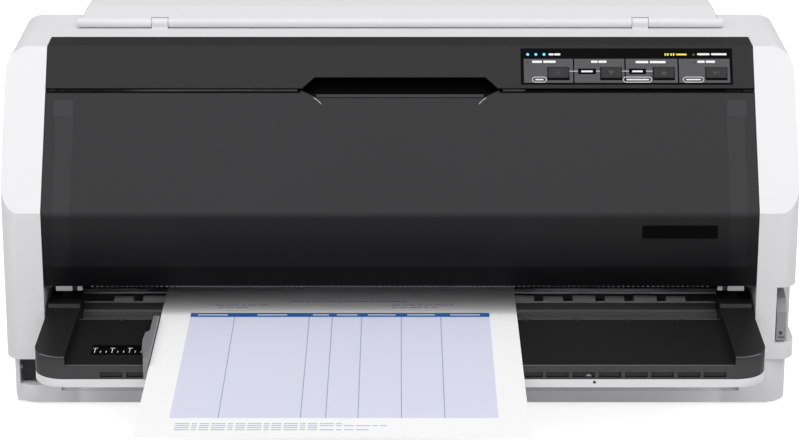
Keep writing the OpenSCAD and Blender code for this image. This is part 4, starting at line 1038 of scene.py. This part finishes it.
class PRINTER_OT_cover(PrinterStep, bpy.types.Operator):
    """Builds the smoke cover with its ears, strips, grip, painted gap shade, feet, teeth and blank label"""
    bl_idname = "printer.cover"
    bl_label = "Front cover"

    def execute(self, context):
        radius = context.scene.printer_sizes.crease_radius / MM
        add_sheet(radius)
        add_end_strips(radius)
        add_grip()
        # Painted shade: black strips along the cover's upper edge stand for the shaded gap under the panel
        trim("cover_seam", "plate_black", strips(both_sides(60.2, COVER_HALF - 0.4), (76.9, 78.1)), 0.06)
        trim("cover_line", "cover_strip", [rounded_box(-164, 42.8, 165.5, 43.15)], 0.05)
        add_foot()
        z = CREASE[1] - 11.7
        slabs("cover_label", "printer_cover", "plate_print", "plate_black", on_front(face_depth(z) - 0.05),
              [rounded_box(145.3, z - 4, 190.6, z + 4, 0.6)], 0.0, 0.15, 0.05)
        return {"FINISHED"}


# ---- form

# The printed form in millimetres: its ends, its field and heading from front to back, and its columns
FORM_LEFT, FORM_RIGHT, FIELD, HEADING = -127.1, 54.3, (-80.3, 82.3), (82.3, 89.4)
COLUMNS = [-100.2, -54.9, -41.0, -23.2, 0.8, 24.7]
# Rows of dashes: depth, then start and end from the form's left edge
ROWS = [(-88.6, 4, 96), (-91.5, 4, 120), (-94.4, 4, 84), (-97.3, 4, 110), (99.0, 16, 34), (103.5, 14, 46),
        (99.0, 122, 150), (103.5, 122, 160), (110.0, 60, 132)]


def dashes(x, end, d):
    """Outlines of a row of plain dashes of three lengths, from x to the end."""
    gap, shortest, step, k = 1.2, 3.0, 2.4, 0
    while x < end - 2:
        width = shortest + step * ((k * 7 + int(d)) % 3)
        yield rounded_box(x, d - 0.45, min(x + width, end), d + 0.45)
        x += width + gap
        k += 1


class PRINTER_OT_form(PrinterStep, bpy.types.Operator):
    """Prints a plain ruled form: a heading bar, a tinted field, columns and rows of dashes"""
    bl_idname = "printer.form"
    bl_label = "Paper form"

    def execute(self, context):
        ink = context.scene.printer_sizes.ink / MM
        place, ends, stock = on_flat(FORM_Z), [(FORM_LEFT, FORM_RIGHT)], ("paper_form", "form_paper")
        slabs("form_heading", *stock, "ink_blue", place, strips(ends, HEADING), 0, ink)
        slabs("form_field", *stock, "ink_lavender", place, strips(ends, FIELD), 0, ink * 0.6)
        bm = bmesh.new()
        for outline in strips([(x - 0.25, x + 0.25) for x in COLUMNS], FIELD):
            slab(bm, place, outline, 0, ink)
        for d, start, end in ROWS:
            for outline in dashes(FORM_LEFT + start, FORM_LEFT + end, d):
                slab(bm, place, outline, 0, ink * 0.8)
        piece("form_rules", bm, *stock, "ink_rule")
        stops = [FORM_LEFT, *COLUMNS, FORM_RIGHT]
        middles = [((a + b) / 2, min(9.0, (b - a) * 0.35)) for a, b in zip(stops, stops[1:])]
        marks = strips([(x - w, x + w) for x, w in middles], (85.0, 86.8))
        slabs("form_heading_marks", *stock, "ink_white", place, marks, ink, ink * 1.6)
        return {"FINISHED"}


# ---- sheet table

def add_ruler():
    place, face, pitch = on_flat(TABLE_Z), 0.12, 3.4
    slabs("ruler_label", "root", "plate_print", "plate_black", place,
          [rounded_box(-181, 19, -150, 35, 0.8)], 0, face)
    ticks = []
    for k in range(9):
        x = -179 + pitch * k
        tall = k % 3 == 0
        ticks.append(rounded_box(x - 0.2, 22, x + 0.2, 29 if tall else 25))
        if tall:
            ticks.append(rounded_box(x - 1.4, 29, x + 1.4, 29.6))
    slabs("ruler_ticks", "root", "plate_print", "ink_white", place, ticks, face, face + 0.05)


def add_edges():
    """Painted highlights along the table's front edge, in a row of segments along its rear edge, on the cross
    bar and on the arms' corners.
    """
    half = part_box("sheet_table")[1].x / MM
    arms = half - 19
    low, high = TABLE_Z - 0.02, TABLE_Z + 0.06
    bm = bmesh.new()
    block(bm, (-arms, 0.3, low), (arms, 2.4, high))
    segment_pitch, segment_half = 30.6, 13.6
    for i in range(-6, 7):
        block(bm, (i * segment_pitch - segment_half, 78.9, low), (i * segment_pitch + segment_half, 79.8, high))
    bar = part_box("cross_bar")
    front, top = bar[0].y / MM - FRONT, bar[1].z / MM
    block(bm, (-arms + 6, front + 0.2, top - 0.02), (arms - 6, front + 1.3, top + 0.05))
    for m in (-1, 1):
        corner = round_corner((m * half, 24), (m * half, 0), (m * arms, 0), 18, 10)
        inner = offset_path(corner, m * 0.5)[6:]
        slab(bm, on_flat(TABLE_Z + 6), band(inner, m * 1.5), -0.02, 0.06)
    piece("table_edges", bm, "root", "table_black", "edge_sheen")


def add_sleeves():
    """Grey sleeves between the rings of the front feed roller."""
    low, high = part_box("front_feed_roller")
    middle, r = (low + high) / 2 / MM, (high.z - low.z) / 2 / MM
    pitch, width = 38, 12
    profile = [(r - 1, 0), (r - 0.4, 0.3), (r - 0.4, width - 0.3), (r - 1, width)]
    bm = bmesh.new()
    for i in range(-5, 5):
        start = spot(pitch * (i + 0.5) - width / 2, middle.y - FRONT, middle.z)
        turned(bm, start, (1, 0, 0), profile, 40)
    piece("feed_sleeves", bm, "front_feed", "roller_rubber", "sleeve_grey")


def add_marks():
    """A black disc as painted shade in a small hole, a pointer on the lip, painted shade in the scoop behind
    the lever, and the lever's own marks.
    """
    bm = bmesh.new()
    # Painted shade: a black disc stands for the shade inside a small hole in the shelf
    turned(bm, spot(112.6, -0.02, TABLE_Z - 9.8), (0, -1, 0), [(0.9, 0), (0.9, 0.06), (0.0, 0.06)], 20)
    piece("shelf_hole", bm, "root", "white_case", "ink_black")
    base, tip = TABLE_Z - 6.1, TABLE_Z - 4.4
    slabs("lip_pointer", "root", "table_black", "ink_grey", on_front(0.0),
          [[(107.2, base), (111.2, base), (109.2, tip)]], 0, 0.05)
    low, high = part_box("release_lever")
    foot, x = low.z / MM, (low.x + high.x) / 2 / MM
    # Painted shade: a dark liner on the back of the scoop behind the release lever
    bm = bmesh.new()
    block(bm, (227.8, 111.5, foot + 12), (234.6, 111.9, foot + 34.2))
    piece("scoop_liner", bm, "root", "white_case", "scoop_dark", soften=0.15)
    outlines = [disc(x - 0.4, foot + 4.6, 1.0), rounded_box(x - 1.9, foot + 1.5, x + 1.9, foot + 2.1)]
    slabs("lever_marks", "release_lever", "plate_print", "ink_black", on_front(low.y / MM - FRONT),
          outlines, -0.6, 0.04)


class PRINTER_OT_table(PrinterStep, bpy.types.Operator):
    """Adds the table's ruler and painted edge highlights, the roller's sleeves, the marks at the shelf and
    the lever, and painted shade in the hole and the scoop
    """
    bl_idname = "printer.table"
    bl_label = "Sheet table marks"

    def execute(self, context):
        add_ruler()
        add_edges()
        add_sleeves()
        add_marks()
        return {"FINISHED"}


# ---- panel and run

STEPS = [PRINTER_OT_stage, PRINTER_OT_solids, PRINTER_OT_plate, PRINTER_OT_cover, PRINTER_OT_form,
         PRINTER_OT_table]


class PRINTER_PT_panel(bpy.types.Panel):
    """Lists the printer's settings and steps"""
    bl_label = "Flatbed printer"
    bl_idname = "PRINTER_PT_panel"
    bl_space_type = "VIEW_3D"
    bl_region_type = "UI"
    bl_category = "Printer"

    def draw(self, context):
        scene = context.scene
        for group in (scene.printer_colours, scene.printer_sizes, scene.printer_studio):
            box = self.layout.box()
            for key in group.__annotations__:
                box.prop(group, key)
        for step in STEPS:
            self.layout.operator(step.bl_idname, text=step.bl_label)


SETTINGS = {"printer_colours": PrinterColours, "printer_sizes": PrinterSizes,
            "printer_studio": StudioSettings}


def register():
    for cls in (*SETTINGS.values(), *STEPS, PRINTER_PT_panel):
        bpy.utils.register_class(cls)
    for key, cls in SETTINGS.items():
        setattr(bpy.types.Scene, key, bpy.props.PointerProperty(type=cls))


def unregister():
    for key in SETTINGS:
        delattr(bpy.types.Scene, key)
    for cls in (PRINTER_PT_panel, *reversed(STEPS), *SETTINGS.values()):
        bpy.utils.unregister_class(cls)


def main():
    register()
    for step in STEPS:
        group, name = step.bl_idname.split(".")
        if getattr(getattr(bpy.ops, group), name)() != {"FINISHED"}:
            raise RuntimeError(f"{step.bl_label} did not finish")


if __name__ == "__main__":
    main()
